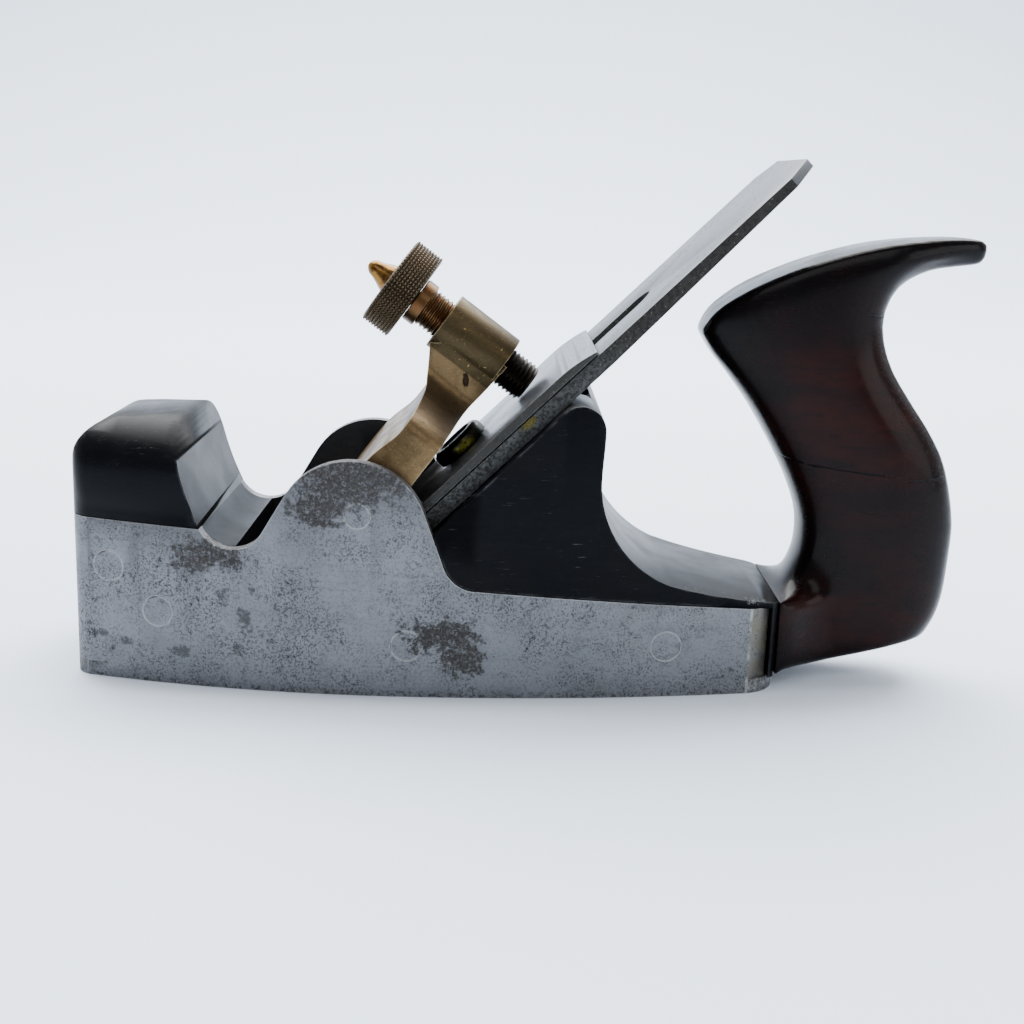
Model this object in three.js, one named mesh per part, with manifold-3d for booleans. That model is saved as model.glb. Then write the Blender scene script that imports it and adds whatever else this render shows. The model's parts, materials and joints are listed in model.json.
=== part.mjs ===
// Coffin-sided infill smoothing plane with an open rear handle, in millimetres.
// +Z is up and the sole's flat underside lies on z = 0. -X points to the toe, +X to the heel and
// the handle. Seen by the person planing, the left side is -Y. The cutting edge's face lies on the
// 45 degree plane through x = EDGE_X, and lengthwise places are worked out from there.

import * as THREE from 'three';
import { mergeVertices } from 'three/addons/utils/BufferGeometryUtils.js';
import { ParametricGeometry } from 'three/addons/geometries/ParametricGeometry.js';
import Module from 'manifold-3d';

const wasm = await Module();
wasm.setup();

// ---------------------------------------------------------------- driving dimensions

const REST_GAP = 0.3; // left between pieces that rest on or are let into each other
const PIVOT_GAP = 0.3; // round the lever's pivot pin
const LEVER_PLAY = 0.9; // each side of the lever, between it and the plates
const MOUTH_SIDE_PLAY = 0.7; // each side of the iron, in the mouth
const FAR = 200; // reach of a cutting solid past the whole plane
const EDGE_X = -49.5; // the cutting edge

const SCREW = {
  slope: 35.5, // degrees below the horizontal, falling toward the iron
  tipX: EDGE_X + 73.1,
  majorR: 5.5,
  threadDepth: 0.75,
  pitch: 1.27,
  boreGap: 0.3, // between the thread and the lever's bore
  belowBoss: 9, // how far the tip stands out of the boss
  threadLength: 34.6,
  collarStep: 0.8, // how far the collar stands out past the thread
  collarLength: 3.3,
  headR: 12.8,
  headThickness: 8.4,
  headChamfer: 0.9,
  pipBaseR: 4.1,
  pipNeck: 0.9, // how much the pip draws in at its foot
  pipR: 2.1,
  pipLength: 6.8,
  spindleR: 2.4, // the head's own spigot inside the shank
  spindleLength: 6,
  teeth: 60,
  toothDepth: 0.5,
};

const IRON = {
  width: 54,
  thickness: 4.1,
  topThickness: 2.4,
  length: 197.5,
  taperStart: 129, // from the edge, where the iron begins to thin toward its top
  edgeLift: 0.3, // the edge's height over the sole's underside at rest
  bevelAngle: 25,
  slotWidth: 11,
  slotStart: 58, // from the edge, the centre of the slot's lower end
  slotEnd: 142,
  corner: 7,
};

const CAP = {
  thickness: 2.3,
  setback: 1.8, // its lower end from the cutting edge
  length: 125.5,
  noseLength: 9,
  noseThickness: 0.5,
  hollow: 0.9, // how far the nose arches clear of the iron
  tailLength: 12,
  tailThickness: 0.7,
  sideInset: 0.4,
};

// The screw from under the iron, through its slot, into the cap iron's boss.
const CAP_SCREW = {
  slotPlay: 0.6, // each side, in the iron's slot
  headOverlap: 2.1, // how far its head reaches past the slot's edge
  headThickness: 3,
  slotWidth: 1.6,
  slotDepth: 1.3,
  belowTop: 0.8, // its end below the boss's top
};
const CAP_SCREW_R = IRON.slotWidth / 2 - CAP_SCREW.slotPlay;
const CAP_SCREW_HEAD_R = IRON.slotWidth / 2 + CAP_SCREW.headOverlap;
const KEY_R = CAP_SCREW_HEAD_R + 1.1; // round hole at the slot's lower end, which the screw's head passes

// The threaded boss on the cap iron, placed along the iron from its cutting edge.
const BOSS = { along: 82, wall: 1.4, shoulder: 1.7, height: 4.3, chamfer: 1.1 };
const BOSS_SPIGOT_R = CAP_SCREW_R + BOSS.wall;
const BOSS_R = BOSS_SPIGOT_R + BOSS.shoulder;

// The groove in the wooden bed, round the cap screw's head.
const BED = { grooveSidePlay: 1.15, grooveDepthPlay: 2.2, grooveStart: 64 };

const REAR_INFILL = {
  humpBackX: EDGE_X + 92.9,
  humpR: 6.5,
  waistDraw: 0.5, // the waist ahead of the hump's back
  waistZ: 58,
  hollowBack: 6.6, // the curve's pull, behind the hump's back
  hollowRise: 16.4, // the curve's upper pull, over the saddle
  hollowLowRise: 4.9, // its lower pull, over the saddle
  saddleBack: 18.6, // the saddle's middle, behind the hump's back
  saddleRise: 5.7, // the saddle's middle over its tail
  tailRise: 1.6, // its tail over the plates' upper edge at the heel
  tailPull: 1.2,
  saddlePull: 3,
};

const BODY = {
  toeLength: 45.5, // from the toe to the cutting edge
  saddleLength: 47.1, // from the hump's back to the plates' heel
  widestX: EDGE_X + 33.5,
  ironRoom: 3.4, // beside the iron at the body's widest
  toeTaper: 10.6, // how much narrower each side is at the toe
  heelTaper: 12.4,
  toeCorner: 6.5,
  heelCorner: 5.5,
  soleCorner: 11, // the sole's own corners at the heel
  heelCut: 3.4, // how deep the plates' heel corners are cut back
  plate: 3.6, // thickness of a side plate
  sole: 4, // thickness of the sole
  lip: 2.7, // how far the sole runs past the plates at the heel
};
const TOE_X = EDGE_X - BODY.toeLength;
const HEEL_X = REAR_INFILL.humpBackX + BODY.saddleLength;
const HALF_WIDTH = IRON.width / 2 + BODY.ironRoom + BODY.plate;

// The side plates' upper edge, from toe to heel: a shoulder line, the scoop, the cheek, a fillet
// and the long low line to the heel.
const EDGE = {
  toeZ: 43.4,
  scoopStart: 28.3, // degrees below the scoop's centre, where the shoulder line meets it
  scoopZ: 46.8,
  scoopR: 9.2,
  scoopApart: 2, // between the scoop's circle and the cheek's
  cheekX: EDGE_X + 28.9,
  cheekZ: 42.3,
  cheekR: 19.8,
  filletApart: 3.5, // between the cheek's circle and the fillet's
  filletR: 9.3,
  rearZ: 28.9, // height of the low line under the fillet's centre
  heelZ: 23.3,
};
const SCOOP_X = EDGE.cheekX - EDGE.cheekR - EDGE.scoopApart - EDGE.scoopR;
const FILLET_X = EDGE.cheekX + EDGE.cheekR + EDGE.filletApart + EDGE.filletR;
const TAIL_Z = EDGE.heelZ + REAR_INFILL.tailRise;

const MOUTH = { front: 0.9 }; // opening ahead of the cutting edge

const BUN = {
  topZ: 69.6,
  toeFall: 1.1, // how much lower its top is at the toe
  noseR: 12.5,
  crownShare: 0.8, // how much of its half-width the crown's rounding takes, each side
  crownDrop: 13, // how far the crown falls away to the sides
  brinkAhead: 6.7, // its rear brink, ahead of where the scoop starts
  brinkR: 2.2,
  facePull: 6.1, // the hollow face's pull, ahead of where the scoop starts
  faceZ: 56,
  throatAhead: 0.5, // its rear end, ahead of the mouth
};

const LEVER = {
  pivotX: EDGE.cheekX + 1.6,
  pivotZ: EDGE.cheekZ + 5.7,
  pinR: 3,
  flareStart: 11, // down the arm from the boss's axis
  flareEnd: 25,
  bossWall: 2.4,
  neckStep: 1.3, // the arm's neck, inside the boss's side
  bossLength: 19.5,
  armSlope: 53, // degrees below the horizontal, falling toward the toe
  toeStart: 18, // the land that bears on the cap iron, from the cutting edge
  toeEnd: 25,
};
const LEVER_BOSS_R = SCREW.majorR + SCREW.boreGap + LEVER.bossWall;

// The lever's side outline between the boss and the toe, as [x, z] offsets from the middle of the
// boss, from the pivot, or from the end of the toe's land on the same side.
const LEVER_FRONT = {
  fromBoss: [[-11.25, 0.45], [-11.75, -7.55], [-12.45, -12.75], [-17.45, -20.35]],
  fromPivot: [[1.7, 13.4], [-9, -1.5]],
  fromToe: [[4.02, 15.92]],
};
const LEVER_BACK = {
  fromToe: [[7.57, 10.57]],
  fromPivot: [[7, -1], [16.7, 12]],
  fromBoss: [[-4.65, -21.15], [2.75, -13.15], [9.35, -5.55]],
};

const HANDLE = {
  footBack: 2.3, // its joint with the infill, behind the plates' heel
  footLength: 23.2,
  footEndZ: 16,
  footNeckHalf: 12.6,
  footNeckPull: 8,
  footSidePull: 6,
  footShrink: 0.6, // the foot's sides inside the plan outline
  footLift: 0.2, // the foot's underside over the grip's
  footEndLift: 1.6,
  footTopPull: 1.5,
  hollowPull: 3,
  hollowDraw: 0.6,
  crestHalf: 8, // half the foot's width where it runs out up the grip
  crestLift: 0.7, // the foot's top edge over the infill's tail
  soleGap: 0.4,
  half: 14,
  taperLowZ: 70, // the tips begin to narrow above this height
  taperHighZ: 95,
  hornLength: 37.2, // the part of the horn that narrows
  hornRunOut: 6, // how far past its tip the narrowing would finish
  hornTipHalf: 8,
  beakLength: 15,
  beakTipHalf: 11,
  roundness: 2.6,
  topRoundness: 5, // fuller toward the flat top
  topStart: 0.6, // where that begins, as a share of the way up
  endRoundness: 16,
};
const FOOT_X = HEEL_X + HANDLE.footBack;

// Outlines that follow the hand, as [x, z] points that a smooth curve runs through, x from the heel.
const HANDLE_FRONT = [
  [4, 5], [4, 15], [5.8, 27], [8.7, 35], [9.2, 41.5], [8.2, 47.3], [4.6, 56],
  [-0.9, 65.9], [-6.8, 75.3], [-12.6, 82.8], [-18.3, 89.4], [-21.7, 94.8],
];
const HANDLE_TOP = [
  [-21.7, 94.8], [-18.5, 100.2], [-11.2, 106], [-0.9, 111.3], [9.5, 115.4], [25.1, 119.6],
  [40.9, 121.5], [48.4, 121.5], [51.7, 120.7], [52.7, 118.4],
];
const HANDLE_BACK = [
  [47, 13.2], [50.8, 22.7], [51.8, 34.4], [51.1, 45.9], [47, 60.9], [42, 69.4],
  [35.6, 77.7], [28.9, 87.7], [26.1, 99], [29.4, 107.6], [37.4, 112.5], [45.5, 114],
  [51.5, 115.2], [52.7, 118.4],
];
const HANDLE_BOTTOM = [
  [4, 5], [13, 4.5], [22.5, 6.6], [32.5, 9.4], [40.5, 11.6], [47, 13.2],
];

const TENON = { length: 24, height: 13, thickness: 12, overSole: 3.5 };

const RIVET = { r: 3.8 };
const RIVETS = [
  { name: 'front_rivet_upper', x: TOE_X + 10.5, z: 30.7 },
  { name: 'front_rivet_lower', x: EDGE_X - 21.7, z: 19.6 },
  { name: 'rear_rivet_front', x: EDGE_X + 43.5, z: 14 },
  { name: 'rear_rivet_back', x: FOOT_X - TENON.length - 6.8, z: 14 },
];

// ---------------------------------------------------------------- solids from three.js shapes

const rad = THREE.MathUtils.degToRad;

// Turns a closed three.js geometry into a manifold solid.
function toSolid(geometry) {
  const bare = geometry.clone();
  bare.deleteAttribute('normal');
  bare.deleteAttribute('uv');
  const merged = mergeVertices(bare, 1e-4);
  const mesh = new wasm.Mesh({
    numProp: 3,
    vertProperties: new Float32Array(merged.attributes.position.array),
    triVerts: keepProper(merged.index.array),
  });
  return new wasm.Manifold(mesh);
}

// Drops the triangles that merging has closed to a line.
function keepProper(index) {
  const kept = [];
  for (let i = 0; i < index.length; i += 3) {
    const [a, b, c] = [index[i], index[i + 1], index[i + 2]];
    if (a !== b && b !== c && c !== a) {
      kept.push(a, b, c);
    }
  }
  return new Uint32Array(kept);
}

function toGeometry(solid) {
  const mesh = solid.getMesh();
  const geometry = new THREE.BufferGeometry();
  geometry.setAttribute('position', new THREE.BufferAttribute(new Float32Array(mesh.vertProperties), 3));
  geometry.setIndex(new THREE.BufferAttribute(new Uint32Array(mesh.triVerts), 1));
  return geometry.toNonIndexed();
}

// Places a shape drawn in its own (a, b) plane and extruded along a third direction.
function extruded(shape, depth, xAxis, yAxis, zAxis, origin) {
  const geometry = new THREE.ExtrudeGeometry(shape, { depth, bevelEnabled: false, curveSegments: 24 });
  geometry.applyMatrix4(new THREE.Matrix4().makeBasis(xAxis, yAxis, zAxis).setPosition(origin));
  return toSolid(geometry);
}

const X = new THREE.Vector3(1, 0, 0);
const Y = new THREE.Vector3(0, 1, 0);
const Z = new THREE.Vector3(0, 0, 1);
const DOWN_Y = new THREE.Vector3(0, -1, 0);

// A side outline (x, z) made half as wide again each way from the middle plane.
function sideSolid(shape, half) {
  return extruded(shape, 2 * half, X, Z, DOWN_Y, new THREE.Vector3(0, half, 0));
}

// A plan outline (x, y) made solid between two heights.
function planSolid(shape, low, high) {
  return extruded(shape, high - low, X, Y, Z, new THREE.Vector3(0, 0, low));
}

function outline(points) {
  return new THREE.Shape(points.map(([a, b]) => new THREE.Vector2(a, b)));
}

// A solid of revolution about an axis that starts at a point and runs along a direction.
// The profile is [radius, distance along the axis], starting and ending on the axis.
function turned(profile, start, direction, segments = 36) {
  const points = profile.map(([r, along]) => new THREE.Vector2(r, along));
  const geometry = new THREE.LatheGeometry(points, segments);
  const turn = new THREE.Quaternion().setFromUnitVectors(Y, direction);
  geometry.applyQuaternion(turn);
  geometry.translate(start.x, start.y, start.z);
  return toSolid(geometry);
}

function rod(r, start, direction, length, segments = 36) {
  return turned([[0, 0], [r, 0], [r, length], [0, length]], start, direction, segments);
}

// ---------------------------------------------------------------- the coffin-shaped plan

function halfWidthAt(x) {
  const toToe = x < BODY.widestX;
  const endX = toToe ? TOE_X : HEEL_X;
  const taper = toToe ? BODY.toeTaper : BODY.heelTaper;
  const share = (x - BODY.widestX) / (endX - BODY.widestX);
  return HALF_WIDTH - taper * share * share;
}

function sideAngleAt(x) {
  const step = 0.5;
  return Math.atan(Math.abs(halfWidthAt(x + step) - halfWidthAt(x - step)) / (2 * step));
}

// A round corner between an end face and a bowed side: its middle, and the side's angle there.
function planCorner(x, r, inset) {
  const angle = sideAngleAt(x);
  return { x, y: halfWidthAt(x) - inset - r / Math.cos(angle), r, angle };
}

// The plan outline, drawn in by inset along the bowed sides, with rounded corners at its ends.
function planShape({ inset = 0, toeX = TOE_X, heelX = HEEL_X, heelCorner = BODY.heelCorner }) {
  const steps = 26;
  const toe = planCorner(toeX + BODY.toeCorner, BODY.toeCorner, inset);
  const heel = planCorner(heelX - heelCorner, heelCorner, inset);
  const first = toe.x - toe.r * Math.sin(toe.angle);
  const last = heel.x + heel.r * Math.sin(heel.angle);
  const side = [];
  for (let i = 1; i < steps; i += 1) {
    const x = first + ((last - first) * i) / steps;
    side.push([x, halfWidthAt(x) - inset]);
  }
  const quarter = Math.PI / 2;
  const shape = new THREE.Shape();
  shape.moveTo(toeX, -toe.y);
  shape.absarc(toe.x, -toe.y, toe.r, 2 * quarter, 3 * quarter - toe.angle, false);
  side.forEach(([x, y]) => shape.lineTo(x, -y));
  shape.absarc(heel.x, -heel.y, heel.r, 3 * quarter + heel.angle, 4 * quarter, false);
  shape.absarc(heel.x, heel.y, heel.r, 0, quarter - heel.angle, false);
  side.reverse().forEach(([x, y]) => shape.lineTo(x, y));
  shape.absarc(toe.x, toe.y, toe.r, quarter + toe.angle, 2 * quarter, false);
  return shape;
}

const SOLE_PLAN = { heelX: HEEL_X + BODY.lip };

// The space between the plates, open at both ends.
function innerPlan(inset) {
  const steps = 26;
  const from = TOE_X - 10;
  const to = HEEL_X + 10;
  const side = [];
  for (let i = 0; i <= steps; i += 1) {
    const x = from + ((to - from) * i) / steps;
    side.push([x, halfWidthAt(x) - inset]);
  }
  return outline([...side.map(([x, y]) => [x, -y]), ...side.reverse()]);
}

// ---------------------------------------------------------------- the plates' upper edge

// The angle, at the first of two circles, where the line that crosses between them touches it.
function crossingTangent(c1, r1, c2, r2, turn) {
  const between = Math.atan2(c2.y - c1.y, c2.x - c1.x);
  const distance = Math.hypot(c2.x - c1.x, c2.y - c1.y);
  return between + turn * Math.acos((r1 + r2) / distance);
}

// The plates' side outline. grow moves every edge outward by that much, for the infills' clearance.
function plateShape(grow = 0, bottomZ = BODY.sole) {
  const scoop = new THREE.Vector2(SCOOP_X, EDGE.scoopZ);
  const cheek = new THREE.Vector2(EDGE.cheekX, EDGE.cheekZ);
  const fillet = new THREE.Vector2(FILLET_X, EDGE.rearZ + EDGE.filletR);
  const scoopR = EDGE.scoopR - grow;
  const cheekR = EDGE.cheekR + grow;
  const filletR = EDGE.filletR - grow;
  const up = crossingTangent(scoop, scoopR, cheek, cheekR, -1);
  const down = crossingTangent(cheek, cheekR, fillet, filletR, 1);
  const scoopStart = Math.PI + rad(EDGE.scoopStart);
  const toe = TOE_X - grow;
  const heel = HEEL_X + grow;
  const shape = new THREE.Shape();
  shape.moveTo(toe, bottomZ);
  shape.lineTo(heel, bottomZ);
  shape.lineTo(heel, EDGE.heelZ + grow);
  shape.lineTo(FILLET_X, EDGE.rearZ + grow);
  shape.absarc(fillet.x, fillet.y, filletR, -Math.PI / 2, down + Math.PI - 2 * Math.PI, true);
  shape.absarc(cheek.x, cheek.y, cheekR, down, up + Math.PI, false);
  shape.absarc(scoop.x, scoop.y, scoopR, up, scoopStart - 2 * Math.PI, true);
  shape.lineTo(toe, EDGE.toeZ + grow);
  return shape;
}

// ---------------------------------------------------------------- places shared by the pieces

const UP_BED = new THREE.Vector3(Math.SQRT1_2, 0, Math.SQRT1_2);
const OFF_BED = new THREE.Vector3(-Math.SQRT1_2, 0, Math.SQRT1_2);

// A point by the iron's face: along it from the cutting edge, and off the face toward the toe.
function onIron(along, off = 0, y = 0) {
  const edge = new THREE.Vector3(EDGE_X + IRON.edgeLift, y, IRON.edgeLift);
  return edge.addScaledVector(UP_BED, along).addScaledVector(OFF_BED, off);
}

const BED_OFF = -(IRON.thickness + REST_GAP); // the bed, off the iron's face
const CAP_TOP = REST_GAP + CAP.thickness; // the cap iron's upper face
const MOUTH_FRONT_X = EDGE_X - MOUTH.front;
const THROAT_X = MOUTH_FRONT_X - BUN.throatAhead;
const INFILL_END_X = FOOT_X - REST_GAP;

// Where the bed passes a height.
function bedX(z) {
  return EDGE_X + z - BED_OFF * Math.SQRT2;
}

const SCREW_DIR = new THREE.Vector3(Math.cos(rad(SCREW.slope)), 0, -Math.sin(rad(SCREW.slope)));
const BACK_UP = SCREW_DIR.clone().negate();

// The middle of the screw's tip, whose lower rim just clears the cap iron.
function screwTip() {
  const lean = SCREW_DIR.angleTo(OFF_BED.clone().negate());
  const off = CAP_TOP + REST_GAP + (SCREW.majorR - SCREW.threadDepth) * Math.sin(lean);
  const along = (SCREW.tipX - onIron(0, off).x) / UP_BED.x;
  return onIron(along, off);
}

const TIP = screwTip();
const BOSS_LOW = TIP.clone().addScaledVector(BACK_UP, SCREW.belowBoss);
const BOSS_MIDDLE = BOSS_LOW.clone().addScaledVector(BACK_UP, LEVER.bossLength / 2);
const LEVER_HALF = halfWidthAt(onIron(LEVER.toeStart).x) - BODY.plate - LEVER_PLAY;

// A piece drawn on the iron's face, shape (along, y), between two distances off the face.
function ironPlate(shape, low, high) {
  return extruded(shape, high - low, UP_BED, Y, OFF_BED, onIron(0, low));
}

// A piece drawn in the iron's side outline, shape (along, off), across a width.
function ironSide(shape, half) {
  return extruded(shape, 2 * half, UP_BED, OFF_BED, DOWN_Y, onIron(0, 0, half));
}

// A round piece square to the iron's face: profile [radius, off the face].
function ironRound(profile, along) {
  return turned(profile, onIron(along), OFF_BED);
}

function crossRod(r, x, z, half = FAR / 2) {
  return rod(r, new THREE.Vector3(x, -half, z), Y, 2 * half);
}

function rivetHoles() {
  const holes = RIVETS.map(({ x, z }) => crossRod(RIVET.r + REST_GAP, x, z));
  return holes.reduce((all, hole) => all.add(hole));
}

// ---------------------------------------------------------------- the metal body

function makeSole() {
  const half = IRON.width / 2 + MOUTH_SIDE_PLAY;
  const past = 1;
  const mouth = outline([
    [MOUTH_FRONT_X, -past],
    [bedX(-past), -past],
    [bedX(BODY.sole + past), BODY.sole + past],
    [MOUTH_FRONT_X, BODY.sole + past],
  ]);
  const plan = planShape({ ...SOLE_PLAN, heelCorner: BODY.soleCorner });
  return planSolid(plan, 0, BODY.sole).subtract(sideSolid(mouth, half));
}

// The plan with the plates' heel corners cut off straight.
function heelCutPlan() {
  const startX = HEEL_X - BODY.heelCorner;
  const half = halfWidthAt(startX);
  const wide = 2 * HALF_WIDTH;
  return outline([
    [TOE_X, -wide], [startX, -wide], [startX, -half], [HEEL_X, BODY.heelCut - half],
    [HEEL_X, half - BODY.heelCut], [startX, half], [startX, wide], [TOE_X, wide],
  ]);
}

function makePlates() {
  const ring = planSolid(planShape({}), 0, FAR).subtract(planSolid(innerPlan(BODY.plate), -1, FAR + 1));
  const pinHole = crossRod(LEVER.pinR + REST_GAP, LEVER.pivotX, LEVER.pivotZ);
  const plates = ring.intersect(sideSolid(plateShape(), FAR)).intersect(planSolid(heelCutPlan(), 0, FAR));
  return plates.subtract(rivetHoles()).subtract(pinHole);
}

function makePlate(side) {
  const halfSpace = toSolid(new THREE.BoxGeometry(2 * FAR, FAR, 2 * FAR).translate(0, (side * FAR) / 2, 0));
  return makePlates().intersect(halfSpace);
}

// A pin through both plates, its ends finished flush with their bowed outer faces.
function flushPin(r, x, z) {
  return crossRod(r, x, z).intersect(planSolid(planShape({}), 0, FAR));
}

// ---------------------------------------------------------------- the wooden infills

// The plates and their clearance, which the infills are cut round.
function plateSpace() {
  const outside = planSolid(planShape({ ...SOLE_PLAN, inset: -2, toeX: TOE_X - 2 }), -1, FAR);
  const ring = outside.subtract(planSolid(innerPlan(BODY.plate + REST_GAP), -2, FAR + 1));
  return ring.intersect(sideSolid(plateShape(REST_GAP, -1), FAR));
}

function bunShape() {
  const scoopStart = Math.PI + rad(EDGE.scoopStart);
  const scoopEnd = -Math.acos((THROAT_X - SCOOP_X) / EDGE.scoopR);
  const scoopStartX = SCOOP_X + EDGE.scoopR * Math.cos(scoopStart);
  const scoopStartZ = EDGE.scoopZ + EDGE.scoopR * Math.sin(scoopStart);
  const brinkX = scoopStartX - BUN.brinkAhead;
  const noseR = Math.min(BUN.noseR, (brinkX - BUN.brinkR - TOE_X) / 2);
  const toeTopZ = BUN.topZ - BUN.toeFall;
  const shape = new THREE.Shape();
  shape.moveTo(TOE_X, BODY.sole);
  shape.lineTo(THROAT_X, BODY.sole);
  shape.absarc(SCOOP_X, EDGE.scoopZ, EDGE.scoopR, scoopEnd, scoopStart - 2 * Math.PI, true);
  shape.quadraticCurveTo(scoopStartX - BUN.facePull, BUN.faceZ, brinkX, BUN.topZ - BUN.brinkR);
  shape.quadraticCurveTo(brinkX, BUN.topZ, brinkX - BUN.brinkR, BUN.topZ);
  shape.lineTo(TOE_X + noseR, toeTopZ);
  shape.absarc(TOE_X + noseR, toeTopZ - noseR, noseR, Math.PI / 2, Math.PI, false);
  return shape;
}

// The whole plan as a block with a crowned top, which falls away by drop to its sides.
function crownedBlock(topZ, share, drop) {
  const steps = 9;
  const turns = Array.from({ length: steps + 1 }, (_, i) => ((i / steps) * Math.PI) / 2);
  const crown = turns.map((a) => ({
    z: topZ - drop * (1 - Math.sin(a)),
    narrow: 1 - share * (1 - Math.cos(a)),
  }));
  const plan = planShape({}).getPoints(6);
  const rings = [{ z: 0, narrow: 1 }, ...crown].map(({ z, narrow }) => ({
    z,
    points: plan.map((point) => new THREE.Vector2(point.x, point.y * narrow)),
  }));
  const count = rings[0].points.length;
  const surface = (around, up, target) => {
    const row = Math.round(up * (rings.length + 1)) - 1;
    const ring = rings[row];
    if (ring) {
      const point = ring.points[Math.round(around * count) % count];
      target.set(point.x, point.y, ring.z);
    } else {
      target.set(BODY.widestX, 0, row < 0 ? 0 : topZ);
    }
  };
  return toSolid(new ParametricGeometry(surface, count, rings.length + 1));
}

function makeFrontInfill() {
  const block = sideSolid(bunShape(), FAR).intersect(crownedBlock(BUN.topZ, BUN.crownShare, BUN.crownDrop));
  return block.subtract(plateSpace()).subtract(rivetHoles());
}

function rearInfillShape() {
  const { humpBackX, humpR, waistZ } = REAR_INFILL;
  const hump = new THREE.Vector2(humpBackX - humpR, 0);
  hump.y = hump.x - bedX(0) - humpR * Math.SQRT2;
  const waistX = humpBackX - REAR_INFILL.waistDraw;
  const saddleX = humpBackX + REAR_INFILL.saddleBack;
  const saddleZ = TAIL_Z + REAR_INFILL.saddleRise;
  const shape = new THREE.Shape();
  shape.moveTo(bedX(BODY.sole), BODY.sole);
  shape.lineTo(INFILL_END_X, BODY.sole);
  shape.lineTo(INFILL_END_X, TAIL_Z);
  shape.bezierCurveTo(
    (saddleX + 2 * INFILL_END_X) / 3, TAIL_Z + REAR_INFILL.tailPull,
    (2 * saddleX + INFILL_END_X) / 3, saddleZ - REAR_INFILL.saddlePull,
    saddleX, saddleZ,
  );
  shape.bezierCurveTo(
    humpBackX + REAR_INFILL.hollowBack, saddleZ + REAR_INFILL.hollowLowRise,
    waistX, saddleZ + REAR_INFILL.hollowRise,
    waistX, waistZ,
  );
  shape.bezierCurveTo(
    waistX, (2 * waistZ + hump.y) / 3,
    humpBackX, (waistZ + 2 * hump.y) / 3,
    humpBackX, hump.y,
  );
  shape.absarc(hump.x, hump.y, humpR, 0, (3 * Math.PI) / 4, false);
  return shape;
}

function tenonBlock(gap) {
  const length = TENON.length + REST_GAP + gap;
  const root = 2;
  const box = new THREE.BoxGeometry(length + root, TENON.thickness + 2 * gap, TENON.height + 2 * gap);
  const middleX = FOOT_X + root - (length + root) / 2;
  return toSolid(box.translate(middleX, 0, BODY.sole + TENON.overSole + TENON.height / 2));
}

function makeRearInfill() {
  const block = sideSolid(rearInfillShape(), FAR).intersect(planSolid(planShape(SOLE_PLAN), 0, FAR));
  const grooveHalf = CAP_SCREW_HEAD_R + BED.grooveSidePlay;
  const grooveDepth = CAP_SCREW.headThickness + BED.grooveDepthPlay;
  const groove = outline([
    [BED.grooveStart, -grooveHalf], [IRON.length, -grooveHalf],
    [IRON.length, grooveHalf], [BED.grooveStart, grooveHalf],
  ]);
  return block
    .subtract(plateSpace())
    .subtract(rivetHoles())
    .subtract(ironPlate(groove, BED_OFF - grooveDepth, 0))
    .subtract(tenonBlock(REST_GAP));
}

// ---------------------------------------------------------------- the handle

function curveThrough(points) {
  const places = points.map(([x, z]) => new THREE.Vector3(HEEL_X + x, 0, z));
  return new THREE.CatmullRomCurve3(places, false, 'centripetal');
}

// Half the handle's thickness at a place: full at the grip, less at the horn's and the beak's tips.
function handleHalf(x, z) {
  const hornTipX = HEEL_X + HANDLE_TOP[HANDLE_TOP.length - 1][0];
  const beakTipX = HEEL_X + HANDLE_TOP[0][0];
  const high = THREE.MathUtils.smoothstep(z, HANDLE.taperLowZ, HANDLE.taperHighZ);
  const hornEndX = hornTipX + HANDLE.hornRunOut;
  const horn = THREE.MathUtils.smoothstep(x, hornEndX - HANDLE.hornLength, hornEndX) * high;
  const beak = THREE.MathUtils.smoothstep(-x, -beakTipX - HANDLE.beakLength, -beakTipX) * high;
  return HANDLE.half - horn * (HANDLE.half - HANDLE.hornTipHalf) - beak * (HANDLE.half - HANDLE.beakTipHalf);
}

// Falls from 1 in the middle of a 0 to 1 span to 0 at its ends, squarer as the power grows.
function rounded(t, power) {
  return Math.max(0, 1 - Math.abs(2 * t - 1) ** power) ** (1 / power);
}

// The grip and its horns: a patch between four outline curves, given thickness on both sides.
function handleGrip(stepsUp = 46, stepsRound = 56) {
  const front = curveThrough(HANDLE_FRONT);
  const back = curveThrough(HANDLE_BACK);
  const top = curveThrough(HANDLE_TOP);
  const bottom = curveThrough(HANDLE_BOTTOM);
  const corners = [front.getPoint(0), back.getPoint(0), front.getPoint(1), back.getPoint(1)];
  const patch = (u, w) => {
    const point = new THREE.Vector3();
    point.addScaledVector(front.getPointAt(u), 1 - w).addScaledVector(back.getPointAt(u), w);
    point.addScaledVector(bottom.getPointAt(w), 1 - u).addScaledVector(top.getPointAt(w), u);
    point.addScaledVector(corners[0], -(1 - u) * (1 - w)).addScaledVector(corners[1], -(1 - u) * w);
    return point.addScaledVector(corners[2], -u * (1 - w)).addScaledVector(corners[3], -u * w);
  };
  const surface = (around, up, target) => {
    const side = around < 0.5 ? -1 : 1;
    const across = around < 0.5 ? 2 * around : 2 - 2 * around;
    const w = 0.5 - 0.5 * Math.cos(Math.PI * across);
    const u = 0.5 - 0.5 * Math.cos(Math.PI * up);
    target.copy(patch(u, w));
    const toTop = THREE.MathUtils.smoothstep(u, HANDLE.topStart, 1);
    const roundness = THREE.MathUtils.lerp(HANDLE.roundness, HANDLE.topRoundness, toTop);
    const fullness = rounded(w, roundness) * rounded(u, HANDLE.endRoundness);
    target.y = side * handleHalf(target.x, target.z) * fullness;
  };
  return toSolid(new ParametricGeometry(surface, stepsRound, stepsUp));
}

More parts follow.
